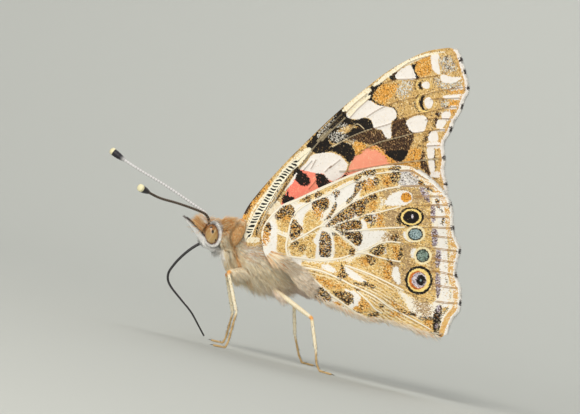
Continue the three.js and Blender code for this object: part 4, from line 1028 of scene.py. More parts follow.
def tufts(name, roots, ups, lies, lengths, widths, surface, unwrap, rise=0.3, bend=0.0, rings=3, flat=0.4,
          **fields):
    """Thin tapered locks, three-sided and closed, that leave the skin at a slope and bend along their lie.

    Lengths and widths are in mm. The unwrap gives each root's place on a flat map of the skin.
    """
    count = len(roots)
    lengths = np.broadcast_to(lengths, count)[:, None] * MM
    widths = np.broadcast_to(widths, count)[:, None] * MM / 2
    bend = np.broadcast_to(bend, count)[:, None]
    sides = unit(np.cross(lies, ups))
    shares = list(np.arange(rings) / rings) + [1.0]
    points = []
    patch = []
    for share in shares:
        lift = ups * rise * share * (1 - 0.55 * share)
        middle = roots + lengths * (lies * share + lift + sides * bend * share**2)
        half = widths * (1 - share) ** 0.7 * (1 - 0.3 * (share == 0))
        if share == 0:
            middle = middle - ups * widths
        if share == 1:
            points.append(middle[:, None])
            patch.append([(0.5, 1.0)])
        else:
            corners = [middle - sides * half, middle + sides * half, middle + ups * half * 2 * flat]
            points.append(np.stack(corners, 1))
            patch.append([(0.0, share), (1.0, share), (0.5, share)])
    points = np.concatenate(points, 1)
    patch = np.concatenate(patch)
    each = points.shape[1]
    shape = [(0, 1, 2)]
    for ring in range(rings - 1):
        a = 3 * ring
        for i, j in ((0, 1), (1, 2), (2, 0)):
            shape += [(a + i, a + 3 + i, a + j), (a + j, a + 3 + i, a + 3 + j)]
    a = 3 * (rings - 1)
    shape += [(a, each - 1, a + 1), (a + 1, each - 1, a + 2), (a + 2, each - 1, a)]
    faces = (np.array(shape)[None] + np.arange(count)[:, None, None] * each).reshape(-1, 3)
    piece = make_mesh(name, points.reshape(-1, 3), faces, surface)
    places = (unwrap[:, None] * (1 - UV_PATCH) + patch[None] * UV_PATCH).reshape(-1, 2)
    piece.data.uv_layers.new(name="OFBake").data.foreach_set("uv", places[faces.ravel()].ravel())
    carry(piece, outward=np.tile(np.repeat(shares, [3] * rings + [1]), count))
    carry(piece, **{key: np.repeat(values, each, axis=0) for key, values in fields.items()})
    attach(piece, "root")
    return piece


fringe_surface = Surface("fringe_hair", roughness=0.75, sheen=0.1)
fringe_colour = fringe_surface.mix(tint(252, 250, 246), tint(236, 230, 220), fringe_surface.field("chance"))
fringe_colour = fringe_surface.mix(fringe_colour, tint(52, 42, 38), fringe_surface.field("dark"))
fringe_surface.feed("Base Color", fringe_colour)


def fringe(name, net, side, spread, tips, seed):
    """The hairs along one wing's outer edge."""
    chance = np.random.default_rng(seed)
    line = net.margin
    run = run_along(line)
    count = int(FRINGE_DENSITY * run[-1] / FRINGE_PITCH)
    stops = chance.uniform(0, run[-1], count)
    edge = on_line(line, run, stops)
    along = unit(on_line(line, run, stops + 0.1) - edge + 1e-6)
    outward = np.stack([along[:, 1], -along[:, 0]], 1)
    outward = unit(outward + along * chance.normal(0, 0.16, (count, 1)))
    length = FRINGE_LENGTH * chance.uniform(0.7, 1.15, count) * (0.9 + 0.18 * np.sin(stops * 5.0))
    roots = edge - outward * (length + chance.uniform(-0.1, 0.06, count))[:, None]
    face = chance.choice([-1, 1], count)
    y = side * (spread(roots) + face * (WING_SHEET / 2 + 0.01))
    lies = outward[:, :1] * AXIS_ACROSS + outward[:, 1:] * AXIS_DOWN
    ups = AXIS_RIGHT * (side * face)[:, None]
    lies = unit(lies - ups * 0.12)
    near = np.linalg.norm(edge[:, None] - tips, axis=2).min(1)
    dark = (near + chance.normal(0, 0.08, count) < TIP_SPOT_RADIUS).astype(float)
    low, high = net.points.min(0), net.points.max(0)
    unwrap = np.clip((roots - low) / (high - low), 0, 1)
    piece = tufts(name, at(*roots.T, y), ups, lies, length, FRINGE_HAIR, fringe_surface, unwrap,
                  rise=0.05, rings=2, flat=0.2, chance=chance.random(count), dark=dark)


for word, side in (("left", -1), ("right", 1)):
    fringe(f"forewing_fringe_{word}", forewing_net, side, forewing_spread, tenths(FOREWING_TIP_SPOTS),
           seed=11)
    fringe(f"hindwing_fringe_{word}", hindwing_net, side, hindwing_spread, tenths(HINDWING_TIP_SPOTS),
           seed=12)

# The skin of the body.
# One thin horn shell runs over head, palps, collar, thorax, forelegs and abdomen, inside the body's outline
# by the depth of the coat. It has the colours of the coat, so that no bare patch shows between the tufts.
COAT_DEPTH = 0.22
VOXEL = 0.09
# Across, down, reach up, reach down and half width at each station. On a palp or foreleg a station is across,
# down, right and radius.
HEAD_FORM = ((20.0, 23.2, 0.5, 0.5, 0.5), (20.35, 23.35, 1.15, 1.1, 1.0), (21.0, 23.5, 1.4, 1.4, 1.4),
             (21.7, 23.65, 1.45, 1.25, 1.3), (22.1, 23.75, 1.2, 0.9, 0.9))
COLLAR_FORM = ((21.7, 23.75, 1.5, 0.9, 1.1), (22.25, 23.8, 1.95, 1.1, 1.45),
               (22.7, 23.95, 2.15, 1.2, 1.65), (23.4, 24.1, 1.9, 1.1, 1.5))
THORAX_FORM = ((22.7, 24.1, 1.2, 1.2, 1.2), (23.6, 24.4, 2.3, 2.2, 1.95), (25.2, 25.1, 2.9, 2.8, 2.3),
               (27.0, 26.0, 2.8, 2.65, 2.25), (28.5, 26.8, 1.9, 1.9, 1.7), (29.4, 27.3, 1.2, 1.2, 1.2))
ABDOMEN_FORM = ((28.8, 27.1, 1.3, 1.3, 1.2), (30.6, 27.9, 1.6, 1.5, 1.45), (32.4, 28.6, 1.75, 1.6, 1.6),
                (34.6, 29.5, 1.65, 1.5, 1.5), (36.6, 30.3, 1.25, 1.15, 1.15), (38.3, 31.0, 0.5, 0.5, 0.45))
PALP_LINE = ((21.5, 25.0, 0.75, 0.32), (20.75, 24.45, 0.82, 0.46), (20.05, 23.5, 0.82, 0.42),
             (19.4, 22.7, 0.72, 0.34), (18.85, 22.1, 0.55, 0.25), (18.35, 21.62, 0.45, 0.11))
FORELEG_LINE = ((22.5, 24.9, 1.3, 0.35), (22.55, 25.8, 1.55, 0.35), (22.9, 26.7, 1.4, 0.32),
                (23.7, 27.8, 1.0, 0.25))
AROUND = 28


def smooth_rows(rows, steps=6):
    """Rows of numbers filled in smoothly between those given."""
    rows = np.array(rows, float)
    columns = [rounded(np.stack([np.arange(len(rows)), column], 1), steps=steps)[:, 1] for column in rows.T]
    return np.stack(columns, 1)


def loft(rows, inset=0.0, right=0.0):
    """Rings of points of a round form, in side-view mm, and how far round and along it each of them is."""
    rows = smooth_rows(rows)
    centre = rows[:, :2]
    forward = unit(np.gradient(centre, axis=0))
    up = np.stack([forward[:, 1], -forward[:, 0]], 1)
    angle = np.linspace(0, 2 * math.pi, AROUND, endpoint=False)
    reach = np.where(np.cos(angle) > 0, rows[:, 2:3], rows[:, 3:4]) - inset
    rise = np.maximum(reach, 0.05) * np.cos(angle)
    across = centre[:, :1] + up[:, :1] * rise
    down = centre[:, 1:] + up[:, 1:] * rise
    out = np.maximum(rows[:, 4:5] - inset, 0.05) * np.sin(angle)
    out = out + np.broadcast_to(right, (len(rows),))[:, None]
    turn = np.broadcast_to(angle / (2 * math.pi), across.shape)
    run = np.broadcast_to(np.linspace(0, 1, len(rows))[:, None], across.shape)
    return np.stack([across, down, out], -1), turn, run


def closed_faces(rings, around, start=0):
    """Faces over rings of points, with the two ends closed."""
    faces = []
    for ring in range(rings - 1):
        for i in range(around):
            a = start + ring * around + i
            b = start + ring * around + (i + 1) % around
            faces.append((a, b, b + around, a + around))
    faces.append(tuple(start + i for i in reversed(range(around))))
    faces.append(tuple(start + (rings - 1) * around + i for i in range(around)))
    return faces


def slim(line, side):
    """A thin limb's stations as the loft takes them, and how far right its middle is."""
    rows = smooth_rows([(a, d, r, r, r, side * w) for a, d, w, r in line], steps=1)
    return rows[:, :5], smooth_rows(rows[:, 5:])[:, 0]


FORMS = [("head", HEAD_FORM, COAT_DEPTH, 0.0), ("collar", COLLAR_FORM, COAT_DEPTH + 0.1, 0.0),
         ("thorax", THORAX_FORM, COAT_DEPTH + 0.1, 0.0), ("abdomen", ABDOMEN_FORM, 0.12, 0.0)]
for side in (-1, 1):
    for part, line, inset in (("palp", PALP_LINE, 0.1), ("foreleg", FORELEG_LINE, 0.12)):
        rows, right = slim(line, side)
        FORMS.append((part, rows, inset, right))

form_points = []
form_faces = []
form_part = []
form_unwrap = []
for number, (part, rows, inset, right) in enumerate(FORMS):
    rings, turn, run = loft(rows, inset, right)
    start = sum(map(len, form_points))
    form_faces += closed_faces(len(rings), AROUND, start)
    form_points.append(rings.reshape(-1, 3))
    form_part += [number] * rings[..., 0].size
    tile = np.array([number % 4, number // 4])
    form_unwrap.append((np.stack([turn, run], -1).reshape(-1, 2) * 0.9 + 0.05 + tile) / (4, 2))
form_points = np.concatenate(form_points)
form_unwrap = np.concatenate(form_unwrap)
form_part = np.array(form_part)


def hair_surface():
    """Hair or hair-like scales: each has its own tone, and painted shade darkens it towards the root."""
    surface = Surface("body_hair", roughness=0.62, sheen=0.15)
    chance = surface.field("chance")
    buff = surface.ramp(chance, (0.0, 158, 126, 92), (0.12, 212, 184, 142), (0.30, 252, 224, 176),
                        (0.60, 255, 240, 204), (0.85, 255, 248, 228))
    grey = surface.ramp(chance, (0.0, 134, 116, 110), (0.14, 196, 178, 166), (0.40, 250, 220, 200),
                        (0.75, 255, 238, 224))
    orange = surface.ramp(chance, (0.0, 172, 102, 40), (0.22, 226, 148, 64), (0.6, 246, 180, 98),
                          (0.85, 253, 222, 168))
    white = surface.ramp(chance, (0.0, 222, 218, 214), (0.25, 250, 248, 245), (1.0, 255, 255, 253))
    colour = surface.mix(buff, grey, surface.field("grey"))
    colour = surface.mix(colour, white, surface.field("white"))
    colour = surface.mix(colour, orange, surface.field("orange"))
    colour = surface.mix(colour, tint(58, 36, 26), surface.field("dark"))
    # Painted shade: each tuft darkens towards its root, where the coat shades it.
    root = (1 - surface.field("outward") * 3.0).clipped()
    surface.feed("Base Color", surface.mix(colour, tint(140, 112, 86), root * 0.16))
    return surface


hair = hair_surface()
skin = make_mesh("body_skin", at(*form_points.T) / MM, form_faces, hair)
remesh = skin.modifiers.new("one_skin", "REMESH")
remesh.mode = "VOXEL"
remesh.voxel_size = VOXEL
evened = skin.modifiers.new("evened", "SMOOTH")
evened.iterations = 6
dressed = bpy.data.meshes.new_from_object(skin.evaluated_get(bpy.context.evaluated_depsgraph_get()))
skin.modifiers.clear()
skin.data = dressed
dressed.transform(Matrix.Scale(MM, 4))
dressed.polygons.foreach_set("use_smooth", np.full(len(dressed.polygons), True))
dressed.update()


def mesh_arrays(mesh):
    """Corner numbers of its triangles, its points and their directions outward."""
    mesh.calc_loop_triangles()
    triangles = np.empty(len(mesh.loop_triangles) * 3, int)
    mesh.loop_triangles.foreach_get("vertices", triangles)
    points = np.empty(len(mesh.vertices) * 3)
    mesh.vertices.foreach_get("co", points)
    outward = np.empty(len(mesh.vertices) * 3)
    mesh.vertices.foreach_get("normal", outward)
    return triangles.reshape(-1, 3), points.reshape(-1, 3), outward.reshape(-1, 3)


def sprinkle(triangles, points, outward, count, chance):
    """Places spread evenly over a surface, the way it faces there, and the nearest of its own points."""
    a, b, c = (points[triangles[:, i]] for i in range(3))
    area = np.linalg.norm(np.cross(b - a, c - a), axis=1)
    chosen = chance.choice(len(triangles), count, p=area / area.sum())
    u, v = chance.random((2, count, 1))
    over = u + v > 1
    u, v = np.where(over, 1 - u, u), np.where(over, 1 - v, v)
    roots = a[chosen] * (1 - u - v) + b[chosen] * u + c[chosen] * v
    corners = triangles[chosen]
    ups = unit(outward[corners[:, 0]] * (1 - u - v) + outward[corners[:, 1]] * u + outward[corners[:, 2]] * v)
    return roots, ups, corners[:, 0]


skin_triangles, skin_points, skin_outward = mesh_arrays(dressed)
skin_view = side_view(skin_points)
nearest = np.empty(len(skin_view), int)
for start in range(0, len(skin_view), 500):
    block = skin_view[start:start + 500, None] - form_points[None]
    nearest[start:start + 500] = (block ** 2).sum(-1).argmin(1)
skin_part = np.array([FORMS[number][0] for number in form_part[nearest]])
skin_unwrap = form_unwrap[nearest]

# The markings of the body, the same on skin and hair.
# Orange-brown on crown and collar, white round the eyes and on the palps, and a buff thorax that turns
# grey-lilac below, with a tawny seam behind the collar.
EYE_RADII = (0.72, 1.03, 0.8)
EYE_TILT = math.radians(-4.0)
SEAM_LINE = np.array([[23.3, 24.0], [23.5, 25.8], [24.0, 26.6], [24.5, 27.7], [25.0, 28.5]])
PALP_RIDGE = np.array([[18.3, 21.5], [18.95, 21.9], [19.55, 22.45], [20.1, 23.0], [20.6, 23.6]])


def eye_share(view):
    """How far a place lies from an eye's middle, 1 being its surface."""
    x, y = view[:, 0] - EYE_CENTRE[0], view[:, 1] - EYE_CENTRE[1]
    across = x * math.cos(EYE_TILT) + y * math.sin(EYE_TILT)
    down = y * math.cos(EYE_TILT) - x * math.sin(EYE_TILT)
    out = abs(view[:, 2]) + EYE_CENTRE[2]
    return np.sqrt((across / EYE_RADII[0]) ** 2 + (down / EYE_RADII[1]) ** 2 + (out / EYE_RADII[2]) ** 2)


def markings(view, part):
    """How orange, white, dark and grey the coat is at each place, each from 0 to 1."""
    across, down, right = view.T
    head, collar, thorax = part == "head", part == "collar", part == "thorax"
    crown = np.clip((23.7 - down - 0.5 * (across > 21.5)) / 0.6, 0, 1)
    seam = ease_off((nearest_on(view[:, :2], SEAM_LINE)[0] - 0.04) / 0.16) * thorax * (abs(right) > 1.2)
    behind_eye = np.clip((across - 20.7) / 0.3 + (down > 24.0), 0, 1)
    ring = ease_off((eye_share(view) - 1.15) / 0.3) * head * behind_eye
    ridge = ease_off((nearest_on(view[:, :2], PALP_RIDGE)[0] - 0.1) / 0.15) * (part == "palp")
    strands = np.clip((25.7 - down) / 0.5, 0, 1) * np.clip((across - 23.6) / 0.5, 0, 1) * thorax
    ginger = 0.5 + 0.5 * np.sin(down * 14.0 - across * 4.0)
    orange = head * crown * (1 - ring) + collar * np.clip((23.7 - down) / 0.7, 0, 1) + 0.9 * seam
    orange += 0.8 * strands * (ginger > 0.75)
    white = ring + head * (1 - crown) + 1.0 * (part == "palp") + 0.6 * strands
    white += 0.8 * np.clip((down - 24.5) / 0.4, 0, 1) * (across < 22.4)
    speckled = collar * (abs(down - 23.7) < 0.5) * (np.sin(across * 31.0) * np.sin(down * 27.0) > 0.45)
    orange += 0.8 * speckled
    dark = ridge + 0.35 * seam * (ginger > 0.7) + 0.4 * speckled * (ginger > 0.6)
    grey = np.clip((down - 26.6) / 2.2, 0, 1) * np.clip((across - 23.6) / 1.5, 0.1, 1)
    grey = grey * (thorax | (part == "abdomen"))
    marks = {"orange": orange, "white": white, "dark": dark, "grey": grey}
    return {name: np.clip(mark, 0, 1) for name, mark in marks.items()}


skin_marks = markings(skin_view, skin_part)
carry(skin, chance=np.full(len(skin_view), 0.3), outward=np.full(len(skin_view), 0.2), **skin_marks)
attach(skin, "root")
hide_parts("head", "prothorax", "thorax", "abdomen", "palp_left", "palp_right", "foreleg_left",
            "foreleg_right")

# The coat.
# Long silky hair sweeps down and back over the thorax, a denser ruff stands on collar and crown, and face and
# palps carry short flat scales. Each tuft's slope and bend vary a little, and it points along the coat's lie.
STREAK_WIDTH = 0.24

chance = np.random.default_rng(5)
root_places, root_ups, root_corner = sprinkle(skin_triangles, skin_points, skin_outward, 90000, chance)
root_part = skin_part[root_corner]
root_view = side_view(root_places)
root_marks = markings(root_view, root_part)
bare = eye_share(root_view) < 1.02


def streak_of(beside):
    """A wave from -1 to 1 over places side by side, one wave to a streak."""
    return np.sin(beside * 2 * math.pi / STREAK_WIDTH)


def coat(name, chosen, lie, length, width, slot, rise=0.2, spread=0.12, rings=3, stand=0.3, tone=0.0):
    """One piece of the coat, on the chosen roots. The lie gives across, down and right at each of them.

    Hairs that lie beside each other along the coat share a shade, which makes the streaks of the fur.
    """
    chosen = np.flatnonzero(chosen & ~bare)
    view = root_view[chosen]
    across, down, right = (np.broadcast_to(value, len(chosen)) for value in lie(view))
    towards = across[:, None] * AXIS_ACROSS + down[:, None] * AXIS_DOWN + right[:, None] * AXIS_RIGHT
    towards = unit(towards) + chance.normal(0, spread, (len(chosen), 3))
    ups = root_ups[chosen]
    out = (towards * ups).sum(1, keepdims=True)
    towards = unit(towards - ups * np.where(out > 0, out * (1 - stand), out))
    lengths = length(view) * chance.uniform(0.6, 1.15, len(chosen))
    beside = (view[:, 1] * across - view[:, 0] * down) / np.hypot(across, down)
    streak = np.sin(beside * 2 * math.pi / STREAK_WIDTH + np.sin(beside * 5.0) * 2.0)
    shade = 0.6 + 0.28 * streak + chance.normal(0, 0.15, len(chosen)) + tone
    marks = {key: values[chosen] for key, values in root_marks.items()}
    bend = chance.normal(0, 0.12, len(chosen))
    unwrap = skin_unwrap[root_corner[chosen]]
    piece = tufts(name, root_places[chosen], ups, towards, lengths, width, hair, unwrap,
                  rise=rise, bend=bend, rings=rings, flat=0.2, chance=np.clip(shade, 0, 1), **marks)


def thorax_lie(view):
    across, down, right = view.T
    share = np.clip((across - 23.6) / 3.6, 0, 1)
    upper = np.clip((25.9 - down) / 0.6, 0, 1) * np.clip((across - 23.4) / 0.5, 0, 1)
    x = 0.36 + 0.34 * share
    y = 0.92 - 0.2 * share
    return x * (1 - upper) + 0.92 * upper, y * (1 - upper) + 0.38 * upper, np.sign(right) * 0.05


def thorax_length(view):
    across, down, _ = view.T
    low = 1.3 + 1.7 * np.clip((down - 24.8) / 2.0, 0, 1)
    return low - 1.3 * np.clip((across - 27.2) / 1.2, 0, 1)


def head_lie(view):
    across, down, right = view.T
    front = np.clip((20.9 - across) / 0.6, 0, 1)
    top = np.clip((23.0 - down) / 0.8, 0, 1)
    return 0.7 - 1.7 * front, 0.9 - 1.6 * top * (0.4 + front), 0.0 * right


def even(length):
    """The same length all over."""
    return lambda view: np.full(len(view), length)


def steady(across, down):
    """The same lie all over."""
    return lambda view: (across, down, 0.0)


picks = chance.random(len(root_part))
across, down, right = root_view.T
head, collar, thorax, abdomen, foreleg, palp = (
    root_part == name for name in ("head", "collar", "thorax", "abdomen", "foreleg", "palp"))
upper = collar & (down < 24.2)
crown = head & (down < 23.3 - 0.2 * (across < 20.7))
ridge = palp & (root_marks["dark"] > 0.4) & (across > 18.6)
waist = abdomen & (across < 30.0) & (abs(right) < 1.0) & (down > 27.5)

for word, half in (("left", right < 0), ("right", right >= 0)):
    coat(f"thorax_hair_{word}", thorax & half & (picks < 0.45), thorax_lie, thorax_length, 0.095, "fur",
         rise=0.13, rings=4)
coat("thorax_down", thorax & (picks > 0.5) & (picks < 0.8), thorax_lie, even(0.7), 0.1, "fur",
     rise=0.18, rings=2)
coat("abdomen_hair", abdomen & (picks < 0.22), steady(0.93, 0.42), even(0.6), 0.07, "fur",
     rise=0.12, tone=-0.1)
coat("foreleg_hair", foreleg & (picks < 0.8), steady(0.3, 0.95), even(1.1), 0.075, "fur",
     rise=0.14, rings=4)
coat("collar_ruff", upper & (picks < 0.85), lambda view: (0.75, 0.35 + 0.5 * (view[:, 1] > 23.0), 0.0),
     lambda view: 0.75 + 0.15 * (view[:, 1] < 22.9), 0.06, "collar", rise=1.2, tone=0.12)
coat("neck_hair", collar & ~upper, steady(0.3, 0.95), even(1.7), 0.085, "fur", rise=0.14, rings=4)
coat("crown_tuft", crown & (picks < 0.9), head_lie, lambda view: 0.62 + 0.1 * (view[:, 0] < 20.9), 0.055,
     "face", rise=2.0, tone=0.12)
coat("brow_tuft", head & (across < 21.0) & (down < 23.2), steady(-0.72, -0.6),
     lambda view: 0.75 + 0.5 * (view[:, 1] < 23.2), 0.06, "face", rise=0.5, spread=0.14, stand=1.0, tone=0.1)
coat("face_scales", head & ~crown & (picks < 0.9), head_lie, even(0.34), 0.065, "face",
     rise=0.25, rings=2, tone=0.2)
coat("chin_hair", head & (down > 24.4) & (across > 21.0), steady(0.3, 0.95), even(1.0), 0.05, "face",
     rise=0.2, stand=1.0, tone=0.1)
coat("palp_scales", palp, steady(-0.6, -0.8), even(0.34), 0.06, "face",
     rise=0.2, rings=2, spread=0.14, tone=0.25)
coat("palp_bristles", ridge, steady(-0.72, -0.68), even(0.5), 0.045, "face", rise=0.5, spread=0.1)
coat("waist_hair", waist, steady(0.7, 0.72), even(1.5), 0.08, "fur", rise=0.14, rings=4)

# The hair of the hindwings.
# Long soft hair grows on their roots and sweeps over the waist, and a thin row hangs from their rear edges.
ROOT_HAIR_LINE = np.array([(26.7, 25.4), (27.9, 26.1), (29.1, 27.0), (30.0, 28.0), (30.4, 28.7)])
ROOT_HAIRS = 2400
ROOT_HAIR_BAND = 0.5
ACROSS_BAND = np.array([0.66, -0.75])
REAR_HAIR_PITCH = 0.022
REAR_HAIR_SHARE = 0.92


def plain_marks(count, **given):
    """The coat's four marks on a number of hairs, each of them none where it isn't given."""
    return {name: np.zeros(count) + given.get(name, 0.0) for name in ("orange", "white", "dark", "grey")}


def wing_hair(name, side, roots, lies, lengths, width, marks, shade, face):
    """Hair on one face of a hindwing, its roots and its lie given in the side view's millimetres."""
    face = np.broadcast_to(face, len(roots))
    y = side * (hindwing_spread(roots) + face * (WING_SHEET / 2 + 0.02))
    outward = (side * face)[:, None] * AXIS_RIGHT
    towards = unit(lies[:, :1] * AXIS_ACROSS + lies[:, 1:] * AXIS_DOWN + outward * 0.06)
    low, high = hindwing_net.points.min(0), hindwing_net.points.max(0)
    unwrap = np.clip((roots - low) / (high - low), 0, 1)
    piece = tufts(name, at(*roots.T, y), outward, towards, lengths, width, hair, unwrap,
                  rise=0.1, rings=4, flat=0.2, chance=np.clip(shade, 0, 1), **marks)


for word, side in (("left", -1), ("right", 1)):
    wing_chance = np.random.default_rng(41)
    line = rounded(ROOT_HAIR_LINE)
    stops = wing_chance.uniform(0, len(line) - 1, ROOT_HAIRS)
    off = wing_chance.uniform(-1, 1, ROOT_HAIRS)
    roots = on_line(line, np.arange(len(line)), stops) + ACROSS_BAND * (off * ROOT_HAIR_BAND)[:, None]
    inside = encloses(roots, hindwing_net.loop)
    roots, off = roots[inside], off[inside]
    share = np.clip((roots[:, 0] - 26.0) / 5.0, 0, 1)
    upper = (off + 1) / 2
    lies = np.stack([0.35 + 0.6 * upper, 0.93 - 0.63 * upper], 1)
    lies = unit(lies + wing_chance.normal(0, 0.07, lies.shape))
    beside = roots[:, 1] * lies[:, 0] - roots[:, 0] * lies[:, 1]
    shade = 0.65 + 0.25 * streak_of(beside) + wing_chance.normal(0, 0.15, len(roots))
    ginger = (wing_chance.random(len(roots)) < 0.5 - share) * 0.8
    marks = plain_marks(len(roots), orange=ginger, grey=0.15 + 0.4 * share)
    lengths = wing_chance.uniform(1.1, 2.3, len(roots)) * (1 - 0.3 * share)
    wing_hair(f"wing_root_hair_{word}", side, roots, lies, lengths, 0.09, marks, shade, 1)

    line = hindwing_net.rear
    run = run_along(line)
    count = int(run[-1] / REAR_HAIR_PITCH)
    stops = wing_chance.uniform(0, run[-1] * REAR_HAIR_SHARE, count)
    edge = on_line(line, run, stops)
    along = unit(edge - on_line(line, run, stops + 0.2) + 1e-6)
    outward = np.stack([-along[:, 1], along[:, 0]], 1)
    lies = unit(along + outward * wing_chance.normal(0.42, 0.2, (count, 1)))
    roots = edge - outward * wing_chance.uniform(0.05, 0.45, (count, 1))
    marks = plain_marks(count, orange=(wing_chance.random(count) < 0.12) * 0.7, white=0.25, grey=0.3)
    lengths = wing_chance.uniform(0.5, 1.05, count)
    shade = wing_chance.uniform(0.3, 1.0, count)
    face = wing_chance.choice([-1, 1], count)
    wing_hair(f"wing_rear_hair_{word}", side, roots, lies, lengths, 0.065, marks, shade, face)

# The tegulae.
# A small domed flap over each forewing's hinge, thatched with long tawny scales.
TEGULA_EDGE = np.array([[23.9, 22.1], [23.25, 23.0], [23.1, 23.6], [23.3, 24.4]])
TEGULA_PLACE = (23.8, 23.15)
TEGULA_RIGHT = 2.42
TEGULA_RADII = (0.62, 1.38, 0.34)
TEGULA_TILT = math.radians(22.0)
TEGULA_SCALES = 2600


def egg(place, right, radii, tilt, rows=24, around=36):
    """Points and faces of an egg, in side-view mm, leaning by an angle in the view."""
    bands = np.linspace(0, math.pi, rows)[1:-1, None]
    turn = np.linspace(0, 2 * math.pi, around, endpoint=False)
    x = radii[0] * np.sin(bands) * np.cos(turn)
    y = radii[1] * np.cos(bands) + 0 * turn
    z = radii[2] * np.sin(bands) * np.sin(turn)
    across = place[0] + x * math.cos(tilt) - y * math.sin(tilt)
    down = place[1] + x * math.sin(tilt) + y * math.cos(tilt)
    return np.stack([across, down, z + right], -1).reshape(-1, 3), closed_faces(rows - 2, around)


for word, side in (("left", -1), ("right", 1)):
    dome, dome_faces = egg(TEGULA_PLACE, side * TEGULA_RIGHT, TEGULA_RADII, TEGULA_TILT, 16, 20)
    tegula = make_mesh(f"tegula_{word}", at(*dome.T), dome_faces, hair)
    count = len(dome)
    carry(tegula, chance=np.full(count, 0.3), outward=np.full(count, 0.2), **plain_marks(count, orange=1.0))
    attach(tegula, "root")
    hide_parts(f"tegula_{word}")
    flap_chance = np.random.default_rng(21)
    roots, ups, corner = sprinkle(*mesh_arrays(tegula.data), TEGULA_SCALES, flap_chance)
    view = side_view(roots)
    lies = -0.15 * AXIS_ACROSS + 0.98 * AXIS_DOWN + flap_chance.normal(0, 0.16, (len(roots), 3))
    lies = unit(lies - ups * (lies * ups).sum(1, keepdims=True))
    edge = np.clip(nearest_on(view[:, :2], TEGULA_EDGE)[0] / 0.2, 0, 1)
    tawny = np.clip((view[:, 1] - 21.6) / 0.8, 0.4, 1)
    marks = plain_marks(len(roots), orange=tawny, dark=0.6 * (1 - edge))
    flat_map = (view[:, :2] - view[:, :2].min(0)) / np.ptp(view[:, :2], axis=0)
    scales = tufts(f"tegula_scales_{word}", roots, ups, lies, 0.42, 0.06, hair, flat_map, rise=0.15, rings=2,
                   chance=flap_chance.uniform(0.35, 1.0, len(roots)), **marks)

# The eyes.
# Each is a glossy half globe of several thousand facets, gold-brown with a darker rim, and painted shade
# marks its false pupils: dark flecks where the facets look straight back.
FACET = 0.000035
PAINTED_FALSE_PUPILS = ((21.32, 23.15, 0.13, 0.19), (21.15, 22.72, 0.16, 0.08), (21.6, 24.0, 0.07, 0.11))
RING_HAIRS = 1200
RING_SWEEP = (-1.8, 2.5)
eye_surface = Surface("eye_facets", roughness=0.22, coat=0.35)
cell = eye_surface.node("ShaderNodeTexVoronoi", {}, {"Vector": eye_surface.place(), "Scale": 1 / FACET})
eye_surface.bump(cell, 0.000004)
eye_gold = eye_surface.ramp(eye_surface.field("rise"), (0.0, 200, 168, 112), (0.45, 186, 148, 92),
                            (0.8, 156, 108, 58), (1.0, 124, 78, 36))
stretched = eye_surface.place((0.0, LEAN, 0.0), (0.00022, 0.001, 0.0012))
streaks = eye_surface.node("ShaderNodeTexNoise", {}, {"Vector": stretched, "Scale": 1.0})
eye_gold = eye_surface.mix(eye_gold, tint(226, 206, 160), (streaks - 0.52) * 3.0)
eye_gold = eye_surface.mix(eye_gold, tint(126, 76, 32), eye_surface.field("rim"))
# Painted shade: dark flecks at the eye's false pupils.
eye_surface.feed("Base Color", eye_surface.mix(eye_gold, tint(20, 12, 6), eye_surface.field("fleck")))
for word, side in (("left", -1), ("right", 1)):
    globe, globe_faces = egg(EYE_CENTRE[:2], -side * EYE_CENTRE[2], EYE_RADII, EYE_TILT, 56, 80)
    eye = make_mesh(f"eye_{word}", at(*globe.T), globe_faces, eye_surface)
    offset = np.linalg.norm((globe[:, :2] - EYE_CENTRE[:2]) / EYE_RADII[:2], axis=1)
    # Where the painted shade of the false pupils lies on each eye.
    fleck = np.zeros(len(globe))
    for across, down, wide, tall in PAINTED_FALSE_PUPILS:
        share = np.linalg.norm((globe[:, :2] - (across, down)) / (wide, tall), axis=1)
        fleck = np.maximum(fleck, ease_off((share - 0.6) / 0.7))
    rise = np.clip((24.4 - globe[:, 1]) / 2.0, 0, 1)
    carry(eye, rise=rise, rim=1 - ease_off((offset - 0.72) / 0.26), fleck=fleck)
    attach(eye, "root")
    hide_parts(f"eye_{word}")
    ring_chance = np.random.default_rng(51)
    turn = ring_chance.uniform(*RING_SWEEP, RING_HAIRS)
    spoke = np.stack([np.cos(turn), np.sin(turn)], 1)
    reach = np.array(EYE_RADII[:2]) * ring_chance.uniform(0.97, 1.10, (RING_HAIRS, 1))
    ring_place = EYE_CENTRE[:2] + spoke * reach
    outward = spoke[:, :1] * AXIS_ACROSS + spoke[:, 1:] * AXIS_DOWN
    lies = outward * 0.55 + AXIS_DOWN * 0.35 + AXIS_ACROSS * 0.35
    lies = unit(lies + ring_chance.normal(0, 0.12, outward.shape))
    lengths = 0.26 + 0.12 * np.clip(spoke[:, 0], 0, 1)
    marks = plain_marks(RING_HAIRS, white=1.0, dark=(spoke[:, 1] < -0.9) * 0.5)
    places = at(*ring_place.T, side * ring_chance.uniform(1.0, 1.4, RING_HAIRS))
    ups = unit(side * AXIS_RIGHT + outward * 0.4)
    ring = tufts(f"eye_ring_{word}", places, ups, lies, lengths, 0.085, hair, spoke * 0.45 + 0.5, rise=0.5,
                 rings=2, chance=ring_chance.uniform(0.4, 1.0, RING_HAIRS), **marks)
